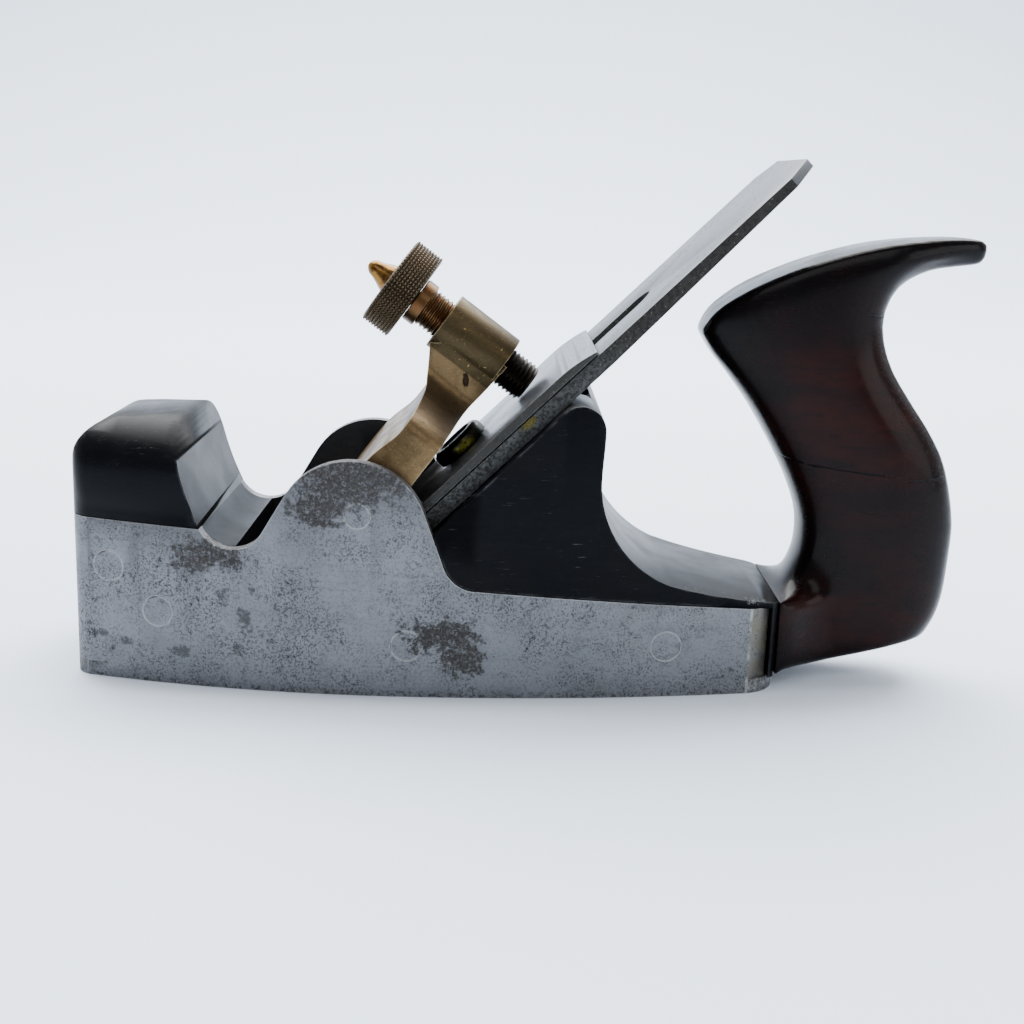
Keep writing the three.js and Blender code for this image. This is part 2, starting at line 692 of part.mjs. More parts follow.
// The foot, as wide as the infill it meets, drawn in to the grip's thickness.
function handleFoot() {
  const { footNeckHalf, footNeckPull, footSidePull } = HANDLE;
  const at = ([x, z], dx = 0, dz = 0) => [HEEL_X + x + dx, z + dz];
  const endX = FOOT_X + HANDLE.footLength;
  const side = new THREE.Shape();
  side.moveTo(FOOT_X, BODY.sole + HANDLE.soleGap);
  side.lineTo(...at(HANDLE_BOTTOM[1], 0, HANDLE.footLift));
  side.lineTo(endX, HANDLE_BOTTOM[2][1] + HANDLE.footEndLift);
  side.lineTo(endX, HANDLE.footEndZ);
  side.quadraticCurveTo(...at(HANDLE_FRONT[4], HANDLE.hollowPull), ...at(HANDLE_FRONT[3], HANDLE.hollowDraw));
  side.quadraticCurveTo(HEEL_X + HANDLE_FRONT[2][0] + HANDLE.footTopPull, TAIL_Z, FOOT_X, TAIL_Z);
  const half = halfWidthAt(FOOT_X) - HANDLE.footShrink;
  const plan = new THREE.Shape();
  plan.moveTo(FOOT_X, -half);
  plan.bezierCurveTo(FOOT_X + footSidePull, -half, FOOT_X + footNeckPull, -footNeckHalf, endX, -footNeckHalf);
  plan.lineTo(endX, footNeckHalf);
  plan.bezierCurveTo(FOOT_X + footNeckPull, footNeckHalf, FOOT_X + footSidePull, half, FOOT_X, half);
  return sideSolid(side, FAR).intersect(planSolid(plan, 0, FAR)).intersect(footBell(half));
}

// The foot seen from behind: full width up to the infill's tail, then drawn in hollow to the grip.
function footBell(half) {
  const { crestHalf, crestLift } = HANDLE;
  const shoulderZ = TAIL_Z + crestLift;
  const crestZ = HANDLE_FRONT[3][1];
  const bell = new THREE.Shape();
  bell.moveTo(-half, 0);
  bell.lineTo(half, 0);
  bell.lineTo(half, shoulderZ);
  bell.quadraticCurveTo(crestHalf, shoulderZ, crestHalf, crestZ);
  bell.lineTo(-crestHalf, crestZ);
  bell.quadraticCurveTo(-crestHalf, shoulderZ, -half, shoulderZ);
  return extruded(bell, FAR, Y, Z, X, new THREE.Vector3());
}

function makeHandle() {
  const behind = new THREE.BoxGeometry(FAR, FAR, FAR).translate(FOOT_X + FAR / 2, 0, FAR / 2);
  const body = handleGrip().add(handleFoot());
  return body.intersect(toSolid(behind.translate(0, 0, BODY.sole + HANDLE.soleGap)))
    .add(handleBeak(body))
    .add(tenonBlock(0));
}

// The part of the grip that reaches forward over the saddle, above the foot's joint.
function handleBeak(body) {
  const ahead = new THREE.BoxGeometry(FAR, FAR, FAR).translate(FOOT_X - FAR / 2 + 1, 0, 0);
  return body.intersect(toSolid(ahead.translate(0, 0, REAR_INFILL.waistZ + FAR / 2)));
}

// ---------------------------------------------------------------- the cutting and cap irons

function makeIron() {
  const bevelEnd = IRON.thickness / Math.tan(rad(IRON.bevelAngle));
  const side = outline([
    [0, 0], [bevelEnd, -IRON.thickness], [IRON.taperStart, -IRON.thickness],
    [IRON.length, -IRON.topThickness], [IRON.length, 0],
  ]);
  const half = IRON.width / 2;
  const { length, corner } = IRON;
  const face = outline([
    [-1, -half], [length - corner, -half], [length, corner - half],
    [length, half - corner], [length - corner, half], [-1, half],
  ]);
  const r = IRON.slotWidth / 2;
  const slot = new THREE.Shape();
  slot.moveTo(IRON.slotStart, -r);
  slot.lineTo(IRON.slotEnd, -r);
  slot.absarc(IRON.slotEnd, 0, r, -Math.PI / 2, Math.PI / 2, false);
  slot.lineTo(IRON.slotStart, r);
  const key = new THREE.Shape();
  key.absarc(IRON.slotStart, 0, KEY_R, 0, 2 * Math.PI, false);
  const past = IRON.thickness + 1;
  return ironSide(side, half)
    .intersect(ironPlate(face, -past, 1))
    .subtract(ironPlate(slot, -past, 1))
    .subtract(ironPlate(key, -past, 1));
}

function makeCapIron() {
  const start = CAP.setback;
  const end = CAP.setback + CAP.length;
  const side = new THREE.Shape();
  side.moveTo(start, REST_GAP);
  side.quadraticCurveTo(start + CAP.noseLength / 2, REST_GAP + CAP.hollow, start + CAP.noseLength, REST_GAP);
  side.lineTo(end, REST_GAP);
  side.lineTo(end, REST_GAP + CAP.tailThickness);
  side.quadraticCurveTo(end - CAP.tailLength / 2, CAP_TOP, end - CAP.tailLength, CAP_TOP);
  side.lineTo(start + CAP.noseLength, CAP_TOP);
  side.quadraticCurveTo(start + CAP.noseLength / 3, CAP_TOP, start, REST_GAP + CAP.noseThickness);
  const hole = ironRound(
    [[0, 0], [BOSS_SPIGOT_R + REST_GAP, 0], [BOSS_SPIGOT_R + REST_GAP, CAP_TOP + 1], [0, CAP_TOP + 1]],
    BOSS.along,
  );
  return ironSide(side, IRON.width / 2 - CAP.sideInset).subtract(hole);
}

function makeCapBoss() {
  const foot = REST_GAP;
  const seat = CAP_TOP + REST_GAP;
  const top = CAP_TOP + BOSS.height;
  const bore = CAP_SCREW_R + REST_GAP;
  return ironRound([
    [bore, foot], [BOSS_SPIGOT_R, foot], [BOSS_SPIGOT_R, seat], [BOSS_R, seat],
    [BOSS_R, top - BOSS.chamfer], [BOSS_R - BOSS.chamfer, top], [bore, top], [bore, foot],
  ], BOSS.along);
}

function makeCapScrew() {
  const under = -IRON.thickness - REST_GAP;
  const bottom = under - CAP_SCREW.headThickness;
  const top = CAP_TOP + BOSS.height - CAP_SCREW.belowTop;
  const screw = ironRound([
    [0, bottom], [CAP_SCREW_HEAD_R, bottom], [CAP_SCREW_HEAD_R, under],
    [CAP_SCREW_R, under], [CAP_SCREW_R, top], [0, top],
  ], BOSS.along);
  const half = CAP_SCREW.slotWidth / 2;
  const reach = CAP_SCREW_HEAD_R + 1;
  const driver = outline([
    [BOSS.along - reach, -half], [BOSS.along + reach, -half],
    [BOSS.along + reach, half], [BOSS.along - reach, half],
  ]);
  return screw.subtract(ironPlate(driver, bottom - 1, bottom + CAP_SCREW.slotDepth));
}

// ---------------------------------------------------------------- the lever and its screw

// The lever seen from the side. Its toe's land lies along the cap iron.
function leverShape() {
  const land = CAP_TOP + REST_GAP;
  const toeLow = onIron(LEVER.toeStart, land);
  const toeHigh = onIron(LEVER.toeEnd, land);
  const pivot = new THREE.Vector3(LEVER.pivotX, 0, LEVER.pivotZ);
  const from = (place, offsets) => offsets.map(([x, z]) => new THREE.Vector2(place.x + x, place.z + z));
  const front = [
    ...from(BOSS_MIDDLE, LEVER_FRONT.fromBoss),
    ...from(pivot, LEVER_FRONT.fromPivot),
    ...from(toeLow, LEVER_FRONT.fromToe),
    ...from(toeLow, [[0, 0]]),
  ];
  const back = [
    ...from(toeHigh, LEVER_BACK.fromToe),
    ...from(pivot, LEVER_BACK.fromPivot),
    ...from(BOSS_MIDDLE, LEVER_BACK.fromBoss),
  ];
  const shape = new THREE.Shape();
  shape.moveTo(front[0].x, front[0].y);
  shape.splineThru(front.slice(1));
  shape.lineTo(toeHigh.x, toeHigh.z);
  shape.splineThru(back);
  shape.lineTo(BOSS_MIDDLE.x, BOSS_MIDDLE.z);
  return shape;
}

// The lever's width down its arm: a narrow neck that sweeps out to fill the space between the plates.
function leverFlare() {
  const slope = rad(LEVER.armSlope);
  const down = new THREE.Vector3(-Math.cos(slope), 0, -Math.sin(slope));
  const across = new THREE.Vector3().crossVectors(Y, down);
  const { flareStart, flareEnd } = LEVER;
  const neckHalf = LEVER_BOSS_R - LEVER.neckStep;
  const middle = (flareStart + flareEnd) / 2;
  const shape = new THREE.Shape();
  shape.moveTo(-neckHalf, -FAR / 2);
  shape.lineTo(neckHalf, -FAR / 2);
  shape.lineTo(neckHalf, flareStart);
  shape.bezierCurveTo(neckHalf, middle, LEVER_HALF, middle, LEVER_HALF, flareEnd);
  shape.lineTo(LEVER_HALF, FAR / 2);
  shape.lineTo(-LEVER_HALF, FAR / 2);
  shape.lineTo(-LEVER_HALF, flareEnd);
  shape.bezierCurveTo(-LEVER_HALF, middle, -neckHalf, middle, -neckHalf, flareStart);
  const origin = BOSS_MIDDLE.clone().addScaledVector(across, -FAR / 2);
  return extruded(shape, FAR, Y, down, across, origin);
}

function makeLever() {
  const arm = sideSolid(leverShape(), FAR).intersect(leverFlare());
  const boss = rod(LEVER_BOSS_R, BOSS_LOW, BACK_UP, LEVER.bossLength);
  const bore = rod(SCREW.majorR + SCREW.boreGap, TIP, BACK_UP, SCREW.threadLength + FAR / 4);
  const pivot = crossRod(LEVER.pinR + PIVOT_GAP, LEVER.pivotX, LEVER.pivotZ);
  return arm.add(boss).subtract(bore).subtract(pivot);
}

function makeScrewShank() {
  const { majorR, pitch, threadLength, collarLength, spindleR, spindleLength } = SCREW;
  const minorR = majorR - SCREW.threadDepth;
  const collarR = majorR + SCREW.collarStep;
  const profile = [[0, 0], [minorR - pitch / 2, 0], [minorR, pitch / 2]];
  for (let along = pitch; along < threadLength - pitch; along += pitch) {
    profile.push([minorR, along], [majorR, along + pitch / 2]);
  }
  const end = threadLength + collarLength;
  const socketR = spindleR + REST_GAP;
  const socketEnd = end - spindleLength - REST_GAP;
  profile.push([collarR, threadLength], [collarR, end], [socketR, end], [socketR, socketEnd], [0, socketEnd]);
  return turned(profile, TIP, BACK_UP, 24);
}

function makeScrewHead() {
  const { headR, headThickness, headChamfer, teeth, toothDepth, pipBaseR, pipNeck, pipR, pipLength } = SCREW;
  const near = SCREW.threadLength + SCREW.collarLength + REST_GAP;
  const far = near + headThickness;
  const spindle = near - SCREW.spindleLength;
  const body = turned([
    [0, spindle], [SCREW.spindleR, spindle], [SCREW.spindleR, near], [headR - headChamfer, near],
    [headR, near + headChamfer], [headR, far - headChamfer], [headR - headChamfer, far], [pipBaseR, far],
    [pipBaseR - pipNeck, far + 0.25 * pipLength], [pipR, far + 0.6 * pipLength],
    [pipR * 0.75, far + 0.9 * pipLength], [0, far + pipLength],
  ], TIP, BACK_UP, 48);
  const rim = new THREE.Shape();
  for (let i = 0; i < 2 * teeth; i += 1) {
    const angle = (Math.PI * i) / teeth;
    const r = headR - (i % 2) * toothDepth;
    const [a, b] = [r * Math.cos(angle), r * Math.sin(angle)];
    if (i === 0) {
      rim.moveTo(a, b);
    } else {
      rim.lineTo(a, b);
    }
  }
  const across = new THREE.Vector3().crossVectors(BACK_UP, Y);
  const knurlStart = TIP.clone().addScaledVector(BACK_UP, -FAR / 4);
  const knurl = extruded(rim, FAR, across.negate(), Y, BACK_UP, knurlStart);
  return body.intersect(knurl);
}

// ---------------------------------------------------------------- the assembly

const STEEL = { color: 0x8d9297, roughness: 0.42, metalness: 0.9 };
const DARK_STEEL = { color: 0x55585b, roughness: 0.5, metalness: 0.85 };
const EBONISED = { color: 0x17181b, roughness: 0.35, metalness: 0 };
const ROSEWOOD = { color: 0x2a1510, roughness: 0.3, metalness: 0 };
const GUNMETAL = { color: 0x7d6a45, roughness: 0.4, metalness: 0.9 };
const BRONZE = { color: 0x5f4d36, roughness: 0.45, metalness: 0.9 };

const plane = new THREE.Group();

function place(name, solid, look) {
  const mesh = new THREE.Mesh(toGeometry(solid), new THREE.MeshStandardMaterial(look));
  mesh.name = name;
  plane.add(mesh);
}

place('sole_plate', makeSole(), STEEL);
place('side_plate_left', makePlate(-1), STEEL);
place('side_plate_right', makePlate(1), STEEL);
place('front_infill', makeFrontInfill(), EBONISED);
place('rear_infill', makeRearInfill(), EBONISED);
place('handle', makeHandle(), ROSEWOOD);
RIVETS.forEach(({ name, x, z }) => place(name, flushPin(RIVET.r, x, z), STEEL));
place('lever_pivot_pin', flushPin(LEVER.pinR, LEVER.pivotX, LEVER.pivotZ), STEEL);
place('lever_cap', makeLever(), GUNMETAL);
place('lever_screw_shank', makeScrewShank(), BRONZE);
place('lever_screw_head', makeScrewHead(), BRONZE);
place('cutting_iron', makeIron(), DARK_STEEL);
place('cap_iron', makeCapIron(), DARK_STEEL);
place('cap_iron_boss', makeCapBoss(), GUNMETAL);
place('cap_iron_screw', makeCapScrew(), DARK_STEEL);

export default plane;
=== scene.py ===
"""Looks for the coffin-sided infill smoothing plane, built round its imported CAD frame.

Everything is in metres in the row frame: -X is the toe, +X the heel and handle, -Y the side that
faces the camera, +Z up, and the sole stands on z = 0.
"""

import json
import math

import bmesh
import bpy
import numpy as np
from mathutils import Matrix, Vector


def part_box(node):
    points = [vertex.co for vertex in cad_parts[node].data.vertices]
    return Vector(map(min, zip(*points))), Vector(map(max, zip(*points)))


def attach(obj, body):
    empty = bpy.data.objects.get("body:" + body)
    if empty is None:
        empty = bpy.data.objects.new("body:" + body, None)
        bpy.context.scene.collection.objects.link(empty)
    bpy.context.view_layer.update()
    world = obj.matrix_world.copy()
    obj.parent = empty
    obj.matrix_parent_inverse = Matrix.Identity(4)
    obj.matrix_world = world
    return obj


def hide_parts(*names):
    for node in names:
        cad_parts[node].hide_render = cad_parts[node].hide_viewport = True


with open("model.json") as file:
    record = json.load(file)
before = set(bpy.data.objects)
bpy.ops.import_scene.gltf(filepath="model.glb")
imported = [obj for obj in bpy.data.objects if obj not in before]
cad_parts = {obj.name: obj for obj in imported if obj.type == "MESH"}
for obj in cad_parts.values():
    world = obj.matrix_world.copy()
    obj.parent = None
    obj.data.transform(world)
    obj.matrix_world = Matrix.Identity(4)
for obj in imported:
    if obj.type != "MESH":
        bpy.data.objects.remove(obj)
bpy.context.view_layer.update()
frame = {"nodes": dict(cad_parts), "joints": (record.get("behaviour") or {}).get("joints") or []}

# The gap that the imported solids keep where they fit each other.
CAD_GAP = 0.0003
# Mesh corners nearer to each other than this are one corner.
MERGE = 0.00002
FINE_MERGE = 0.00001

# ---------------------------------------------------------------- places read from the frame

JOINTS = {joint["name"]: joint for joint in frame["joints"]}
SCREW_AXIS = Vector(JOINTS["screw_advance"]["axis"]).normalized()
SCREW_POINT = Vector(JOINTS["screw_turn"]["pos_m"])
IRON_AXIS = Vector(JOINTS["iron_depth"]["axis"]).normalized()
OFF_IRON = Vector((-IRON_AXIS.z, 0, IRON_AXIS.x))
SOLE_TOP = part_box("sole_plate")[1].z
HANDLE_LOW, HANDLE_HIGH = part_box("handle")
PLATE_LOW, PLATE_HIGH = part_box("side_plate_left")
INFILL_LOW, INFILL_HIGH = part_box("rear_infill")
# The handle's foot meets the rear infill here, and its rounded crest runs back at this height.
FOOT_FACE_X = INFILL_HIGH.x + CAD_GAP
FOOT_CREST_Z = 0.031


# ---------------------------------------------------------------- colours

def srgb(red, green, blue):
    """A linear colour from 0 to 255 display values."""
    def linear(value):
        share = value / 255
        return share / 12.92 if share <= 0.04045 else ((share + 0.055) / 1.055) ** 2.4
    return (linear(red), linear(green), linear(blue), 1.0)


# ---------------------------------------------------------------- material building blocks

class Look:
    """A Principled material whose colour, roughness and bump are worked out from the row frame."""

    def __init__(self, name, colour, roughness, metallic=0.0, **sockets):
        self.material = bpy.data.materials.new(name)
        self.material.use_nodes = True
        self.nodes = self.material.node_tree.nodes
        self.links = self.material.node_tree.links
        self.shader = self.nodes["Principled BSDF"]
        self.shader.inputs["Base Color"].default_value = colour
        self.shader.inputs["Roughness"].default_value = roughness
        self.shader.inputs["Metallic"].default_value = metallic
        for socket, value in sockets.items():
            self.shader.inputs[socket.replace("_", " ")].default_value = value
        self.colour = colour
        self.rough = roughness
        self.height = None
        self.place = self.nodes.new("ShaderNodeTexCoord").outputs["Object"]

    def node(self, kind, **settings):
        """A new node with its settings made."""
        made = self.nodes.new(kind)
        for key, value in settings.items():
            setattr(made, key, value)
        return made

    def feed(self, socket, value):
        """Links a socket to another, or sets it to a plain value."""
        if isinstance(value, bpy.types.NodeSocket):
            self.links.new(value, socket)
        else:
            socket.default_value = value

    def stretched(self, scale=(1, 1, 1), turn=(0, 0, 0), shift=(0, 0, 0)):
        """The place in the row frame, scaled, turned and shifted."""
        mapping = self.node("ShaderNodeMapping")
        self.links.new(self.place, mapping.inputs["Vector"])
        mapping.inputs["Location"].default_value = shift
        mapping.inputs["Rotation"].default_value = turn
        mapping.inputs["Scale"].default_value = scale
        return mapping.outputs["Vector"]

    def noise(self, size, detail=4.0, roughness=0.55, scale=(1, 1, 1), turn=(0, 0, 0), shift=(0, 0, 0)):
        """Noise whose lumps are about size metres across."""
        made = self.node("ShaderNodeTexNoise")
        self.links.new(self.stretched(scale, turn, shift), made.inputs["Vector"])
        made.inputs["Scale"].default_value = 1 / size
        made.inputs["Detail"].default_value = detail
        made.inputs["Roughness"].default_value = roughness
        return made.outputs["Fac"]

    def step(self, value, low, high, bottom=0.0, top=1.0):
        """Runs smoothly from bottom, where value is low, to top, where it is high."""
        made = self.node("ShaderNodeMapRange", interpolation_type="SMOOTHSTEP")
        self.feed(made.inputs["Value"], value)
        made.inputs["From Min"].default_value = low
        made.inputs["From Max"].default_value = high
        made.inputs["To Min"].default_value = bottom
        made.inputs["To Max"].default_value = top
        return made.outputs["Result"]

    def maths(self, operation, first, second=0.0):
        made = self.node("ShaderNodeMath", operation=operation)
        self.feed(made.inputs[0], first)
        self.feed(made.inputs[1], second)
        return made.outputs[0]

    def both(self, *values):
        """Where all the masks are, which is their product."""
        result = values[0]
        for value in values[1:]:
            result = self.maths("MULTIPLY", result, value)
        return result

    def most(self, *values):
        """Where any of the masks is, which is the greatest of them."""
        result = values[0]
        for value in values[1:]:
            result = self.maths("MAXIMUM", result, value)
        return result

    def near(self, centre, radii, ragged=0.0, grain=0.004, soft=0.35, turn=(0, 0, 0)):
        """1 inside an ellipsoid with a ragged edge, falling to 0 outside it."""
        mapping = self.node("ShaderNodeMapping", vector_type="TEXTURE")
        self.links.new(self.place, mapping.inputs["Vector"])
        mapping.inputs["Location"].default_value = centre
        mapping.inputs["Rotation"].default_value = turn
        mapping.inputs["Scale"].default_value = radii
        length = self.node("ShaderNodeVectorMath", operation="LENGTH")
        self.links.new(mapping.outputs["Vector"], length.inputs[0])
        distance = length.outputs["Value"]
        if ragged:
            wobble = self.step(self.noise(grain, 5.0, 0.7), 0.25, 0.75, -ragged, ragged)
            distance = self.maths("ADD", distance, wobble)
        return self.step(distance, 1.0 - soft, 1.0 + soft, 1.0, 0.0)

    def facing(self, axis, low, high):
        """How far the surface faces along an axis of the row frame, from 0 at low to 1 at high."""
        split = self.node("ShaderNodeSeparateXYZ")
        normal = self.node("ShaderNodeNewGeometry").outputs["Normal"]
        self.links.new(normal, split.inputs[0])
        return self.step(split.outputs["XYZ".index(axis)], low, high)

    def along(self, axis):
        """The place along an axis of the row frame, in metres."""
        split = self.node("ShaderNodeSeparateXYZ")
        self.links.new(self.place, split.inputs[0])
        return split.outputs["XYZ".index(axis)]

    def edges(self, radius, low=0.02, high=0.3):
        """1 on the surface's sharp edges, where handling has worn it."""
        bevel = self.node("ShaderNodeBevel", samples=6)
        bevel.inputs["Radius"].default_value = radius
        normal = self.node("ShaderNodeNewGeometry").outputs["Normal"]
        dot = self.node("ShaderNodeVectorMath", operation="DOT_PRODUCT")
        self.links.new(bevel.outputs["Normal"], dot.inputs[0])
        self.links.new(normal, dot.inputs[1])
        return self.step(self.maths("SUBTRACT", 1.0, dot.outputs["Value"]), low, high)

    def tint(self, mask, colour):
        """Lays a colour over the base colour where mask is 1."""
        mix = self.node("ShaderNodeMix", data_type="RGBA")
        self.feed(mix.inputs["Factor"], mask)
        self.feed(mix.inputs["A"], self.colour)
        self.feed(mix.inputs["B"], colour)
        self.colour = mix.outputs["Result"]

    def roughen(self, mask, value):
        """Sets the roughness to value where mask is 1."""
        mix = self.node("ShaderNodeMix", data_type="FLOAT")
        self.feed(mix.inputs["Factor"], mask)
        self.feed(mix.inputs["A"], self.rough)
        self.feed(mix.inputs["B"], value)
        self.rough = mix.outputs["Result"]

    def raise_by(self, value, height):
        """Adds value, times height in metres, to the surface's relief."""
        lifted = self.maths("MULTIPLY", value, height)
        self.height = lifted if self.height is None else self.maths("ADD", self.height, lifted)

    def done(self, metallic=None):
        """Joins the colour, roughness and relief to the shader, and gives back the material."""
        self.feed(self.shader.inputs["Base Color"], self.colour)
        self.feed(self.shader.inputs["Roughness"], self.rough)
        if metallic is not None:
            self.feed(self.shader.inputs["Metallic"], metallic)
        if self.height is not None:
            bump = self.node("ShaderNodeBump")
            bump.inputs["Strength"].default_value = 1.0
            bump.inputs["Distance"].default_value = 1.0
            self.links.new(self.height, bump.inputs["Height"])
            self.links.new(bump.outputs["Normal"], self.shader.inputs["Normal"])
        return self.material


def inverse(look, value):
    """1 where a mask is 0, and 0 where it is 1."""
    return look.maths("SUBTRACT", 1.0, value)


def reach_at(node, low, high):
    """A node's widest radius round the screw's axis between two distances up it."""
    widest = 0
    for vert in frame["nodes"][node].data.vertices:
        offset = vert.co - SCREW_POINT
        distance = offset.dot(-SCREW_AXIS)
        if low <= distance <= high:
            widest = max(widest, (offset + SCREW_AXIS * distance).length)
    return widest


def span_on_axis(node):
    """Where a node begins and ends along the screw's axis, measured up from the turning point."""
    places = [(v.co - SCREW_POINT).dot(-SCREW_AXIS) for v in frame["nodes"][node].data.vertices]
    return min(places), max(places)


# How long a stretch of a turned piece's end its radius is measured on.
END_STRETCH = 0.0005

# The lever's boss: its upper end is the lever's own, and it is as round as the lever is there.
BOSS_HIGH = span_on_axis("lever_cap")[1]
LEVER_BOSS_R = reach_at("lever_cap", BOSS_HIGH - END_STRETCH, BOSS_HIGH)
BOSS_HALF_LENGTH = 0.0098
BOSS_CENTRE = tuple(SCREW_POINT - SCREW_AXIS * (BOSS_HIGH - BOSS_HALF_LENGTH))

# Along the screw's axis from the turning point: up to the pip, and down to the oiled tip, with how
# far the look of each reaches round it.
PIP_DISTANCE = 0.0125
PIP_REACH = 0.0058
TIP_DISTANCE = 0.0345
OIL_REACH = 0.0125

# ---------------------------------------------------------------- materials

# Where the plates bend in at the heel.
HEEL_BEND = PLATE_HIGH.x - 0.0055

# The hump's near rim, and the chipped corner of the saddle over the plate's heel.
HUMP_RIM = (INFILL_LOW.x + 0.0885, INFILL_LOW.y + 0.003, INFILL_HIGH.z - 0.002)
TAIL_CHIP = (PLATE_HIGH.x - 0.003, HANDLE_LOW.y - 0.001, PLATE_LOW.z + 0.0217)

# A turn about Y that lines a mark up with the bedded iron.
WITH_IRON = (0, -0.785, 0)

# Rust stains on the steel: their middle, their reach, how ragged they are and how strong.
STAINS = (
    ((-0.0212, -0.034, 0.0580), (0.0142, 0.02, 0.0082), 0.45, 1.0),
    ((-0.0290, -0.034, 0.0500), (0.0070, 0.02, 0.0050), 0.6, 1.0),
    ((-0.0570, -0.031, 0.0368), (0.0088, 0.02, 0.0034), 0.8, 1.0),
    ((-0.0610, -0.031, 0.0340), (0.0040, 0.02, 0.0030), 0.8, 0.9),
    ((0.0035, -0.0337, 0.0165), (0.0085, 0.02, 0.0044), 0.9, 1.0),
    ((0.0090, -0.0337, 0.0108), (0.0050, 0.02, 0.0048), 0.9, 1.0),
    ((-0.0478, -0.032, 0.0190), (0.0016, 0.02, 0.0034), 0.9, 0.65),
    ((-0.0538, -0.032, 0.0245), (0.0016, 0.02, 0.0020), 0.9, 0.6),
    ((-0.0464, -0.032, 0.0273), (0.0012, 0.02, 0.0014), 0.9, 0.5),
    ((-0.0655, -0.030, 0.0090), (0.0022, 0.02, 0.0014), 0.9, 0.6),
    ((-0.0885, -0.025, 0.0122), (0.0026, 0.02, 0.0010), 0.9, 0.6),
    ((-0.0805, -0.028, 0.0107), (0.0020, 0.02, 0.0009), 0.9, 0.6),
    ((-0.0495, -0.032, 0.0112), (0.0012, 0.02, 0.0024), 0.9, 0.5),
    ((0.0200, 0.034, 0.0180), (0.0120, 0.02, 0.0060), 0.8, 1.0),
    ((-0.0300, 0.034, 0.0480), (0.0100, 0.02, 0.0080), 0.7, 1.0),
)


def inner_face(look):
    """1 on faces of the body that look inward, across the plane, and 0 on its outside."""
    split = look.node("ShaderNodeSeparateXYZ")
    look.links.new(look.node("ShaderNodeNewGeometry").outputs["Normal"], split.inputs[0])
    return look.step(look.maths("MULTIPLY", look.along("Y"), split.outputs["Y"]), -0.012, -0.004, 1.0, 0.0)


def steel_sides():
    """Old satin steel: cloudy, finely pitted, stained with rust and worn bright on its edges, with a painted
    highlight on the heel's bend and painted shade on its inward faces.
    """
    look = Look("steel_sides", srgb(113, 114, 118), 0.44, 0.92)
    look.tint(look.step(look.noise(0.03, 3.0), 0.42, 0.68, 0, 0.5), srgb(99, 101, 104))
    look.tint(look.step(look.noise(0.008, 4.0), 0.48, 0.72, 0, 0.35), srgb(88, 90, 92))
    lengthwise = look.noise(0.0010, 4.0, 0.6, scale=(0.05, 1, 1))
    look.tint(look.step(lengthwise, 0.5, 0.8, 0, 0.4), srgb(80, 82, 85))
    look.raise_by(lengthwise, 0.00001)
    # Fine specks and deeper pits crowd together in places, and a line of specks runs along the foot.
    crowd = look.step(look.noise(0.013, 3.0, 0.6, shift=(3, 1, 7)), 0.36, 0.60, 0.15, 1.0)
    fine = look.both(look.step(look.noise(0.00055, 3.0, 0.75), 0.50, 0.60), look.maths("ADD", crowd, 0.25))
    pits = look.both(look.step(look.noise(0.0013, 4.0, 0.8, shift=(9, 4, 2)), 0.575, 0.63), crowd)
    foot = look.step(look.along("Z"), 0.0004, 0.0026, 1.0, 0.0)
    low_specks = look.both(look.step(look.noise(0.0010, 3.0, 0.75, shift=(1, 2, 3)), 0.50, 0.58), foot)
    stain = None
    for centre, radii, ragged, strength in STAINS:
        spot = look.both(look.near(centre, radii, ragged, grain=0.0028, soft=0.3), strength)
        stain = spot if stain is None else look.most(stain, spot)
    broken = look.step(look.noise(0.0011, 5.0, 0.85), 0.38, 0.52, 0.2, 1.0)
    stain = look.both(stain, broken)
    look.tint(look.both(fine, 0.62), srgb(50, 52, 55))
    look.tint(look.both(pits, 0.9), srgb(38, 39, 42))
    look.tint(look.both(low_specks, 0.75), srgb(44, 44, 46))
    look.tint(look.both(stain, 0.95), srgb(33, 30, 30))
    mottled = look.step(look.noise(0.0008, 4.0, 0.8, shift=(6, 2, 2)), 0.46, 0.64, 0, 0.65)
    look.tint(look.both(stain, mottled), srgb(68, 64, 57))
    # Wear brightens the edges, but not the flush seam between the plates and the sole.
    from_seam = look.maths("ABSOLUTE", look.maths("SUBTRACT", look.along("Z"), SOLE_TOP))
    off_seam = look.step(from_seam, 0.0006, 0.0012)
    worn = look.both(look.edges(0.0007), off_seam, inverse(look, stain))
    look.tint(look.both(worn, 0.5), srgb(205, 205, 200))
    # The plates' ends behind the bend are darker and yellower, and the bend itself carries a painted
    # highlight.
    heel = look.both(
        look.step(look.along("X"), HEEL_BEND - 0.0003, HEEL_BEND + 0.0003),
        look.step(look.along("Z"), SOLE_TOP - 0.001, SOLE_TOP + 0.0005),
    )
    look.tint(look.both(heel, look.step(look.noise(0.004, 4.0), 0.3, 0.6, 0.3, 0.7)), srgb(104, 99, 82))
    from_bend = look.maths("ABSOLUTE", look.maths("SUBTRACT", look.along("X"), HEEL_BEND))
    bend = look.step(from_bend, 0.0002, 0.0006, 1, 0)
    look.tint(look.both(bend, look.step(look.noise(0.003, 4.0), 0.35, 0.6), 0.35), srgb(190, 190, 184))
    dull = look.most(pits, stain, look.both(fine, 0.6))
    # Painted shade: faces that look inward, across the plane, are darkened nearly to black.
    look.tint(look.both(inner_face(look), 0.9), srgb(24, 25, 28))
    look.roughen(dull, 0.7)
    look.raise_by(look.most(pits, look.both(fine, 0.5)), -0.00005)
    look.raise_by(look.both(stain, look.noise(0.0006, 4.0, 0.75)), -0.00012)
    return look.done(metallic=look.step(dull, 0.0, 1.0, 0.92, 0.35))


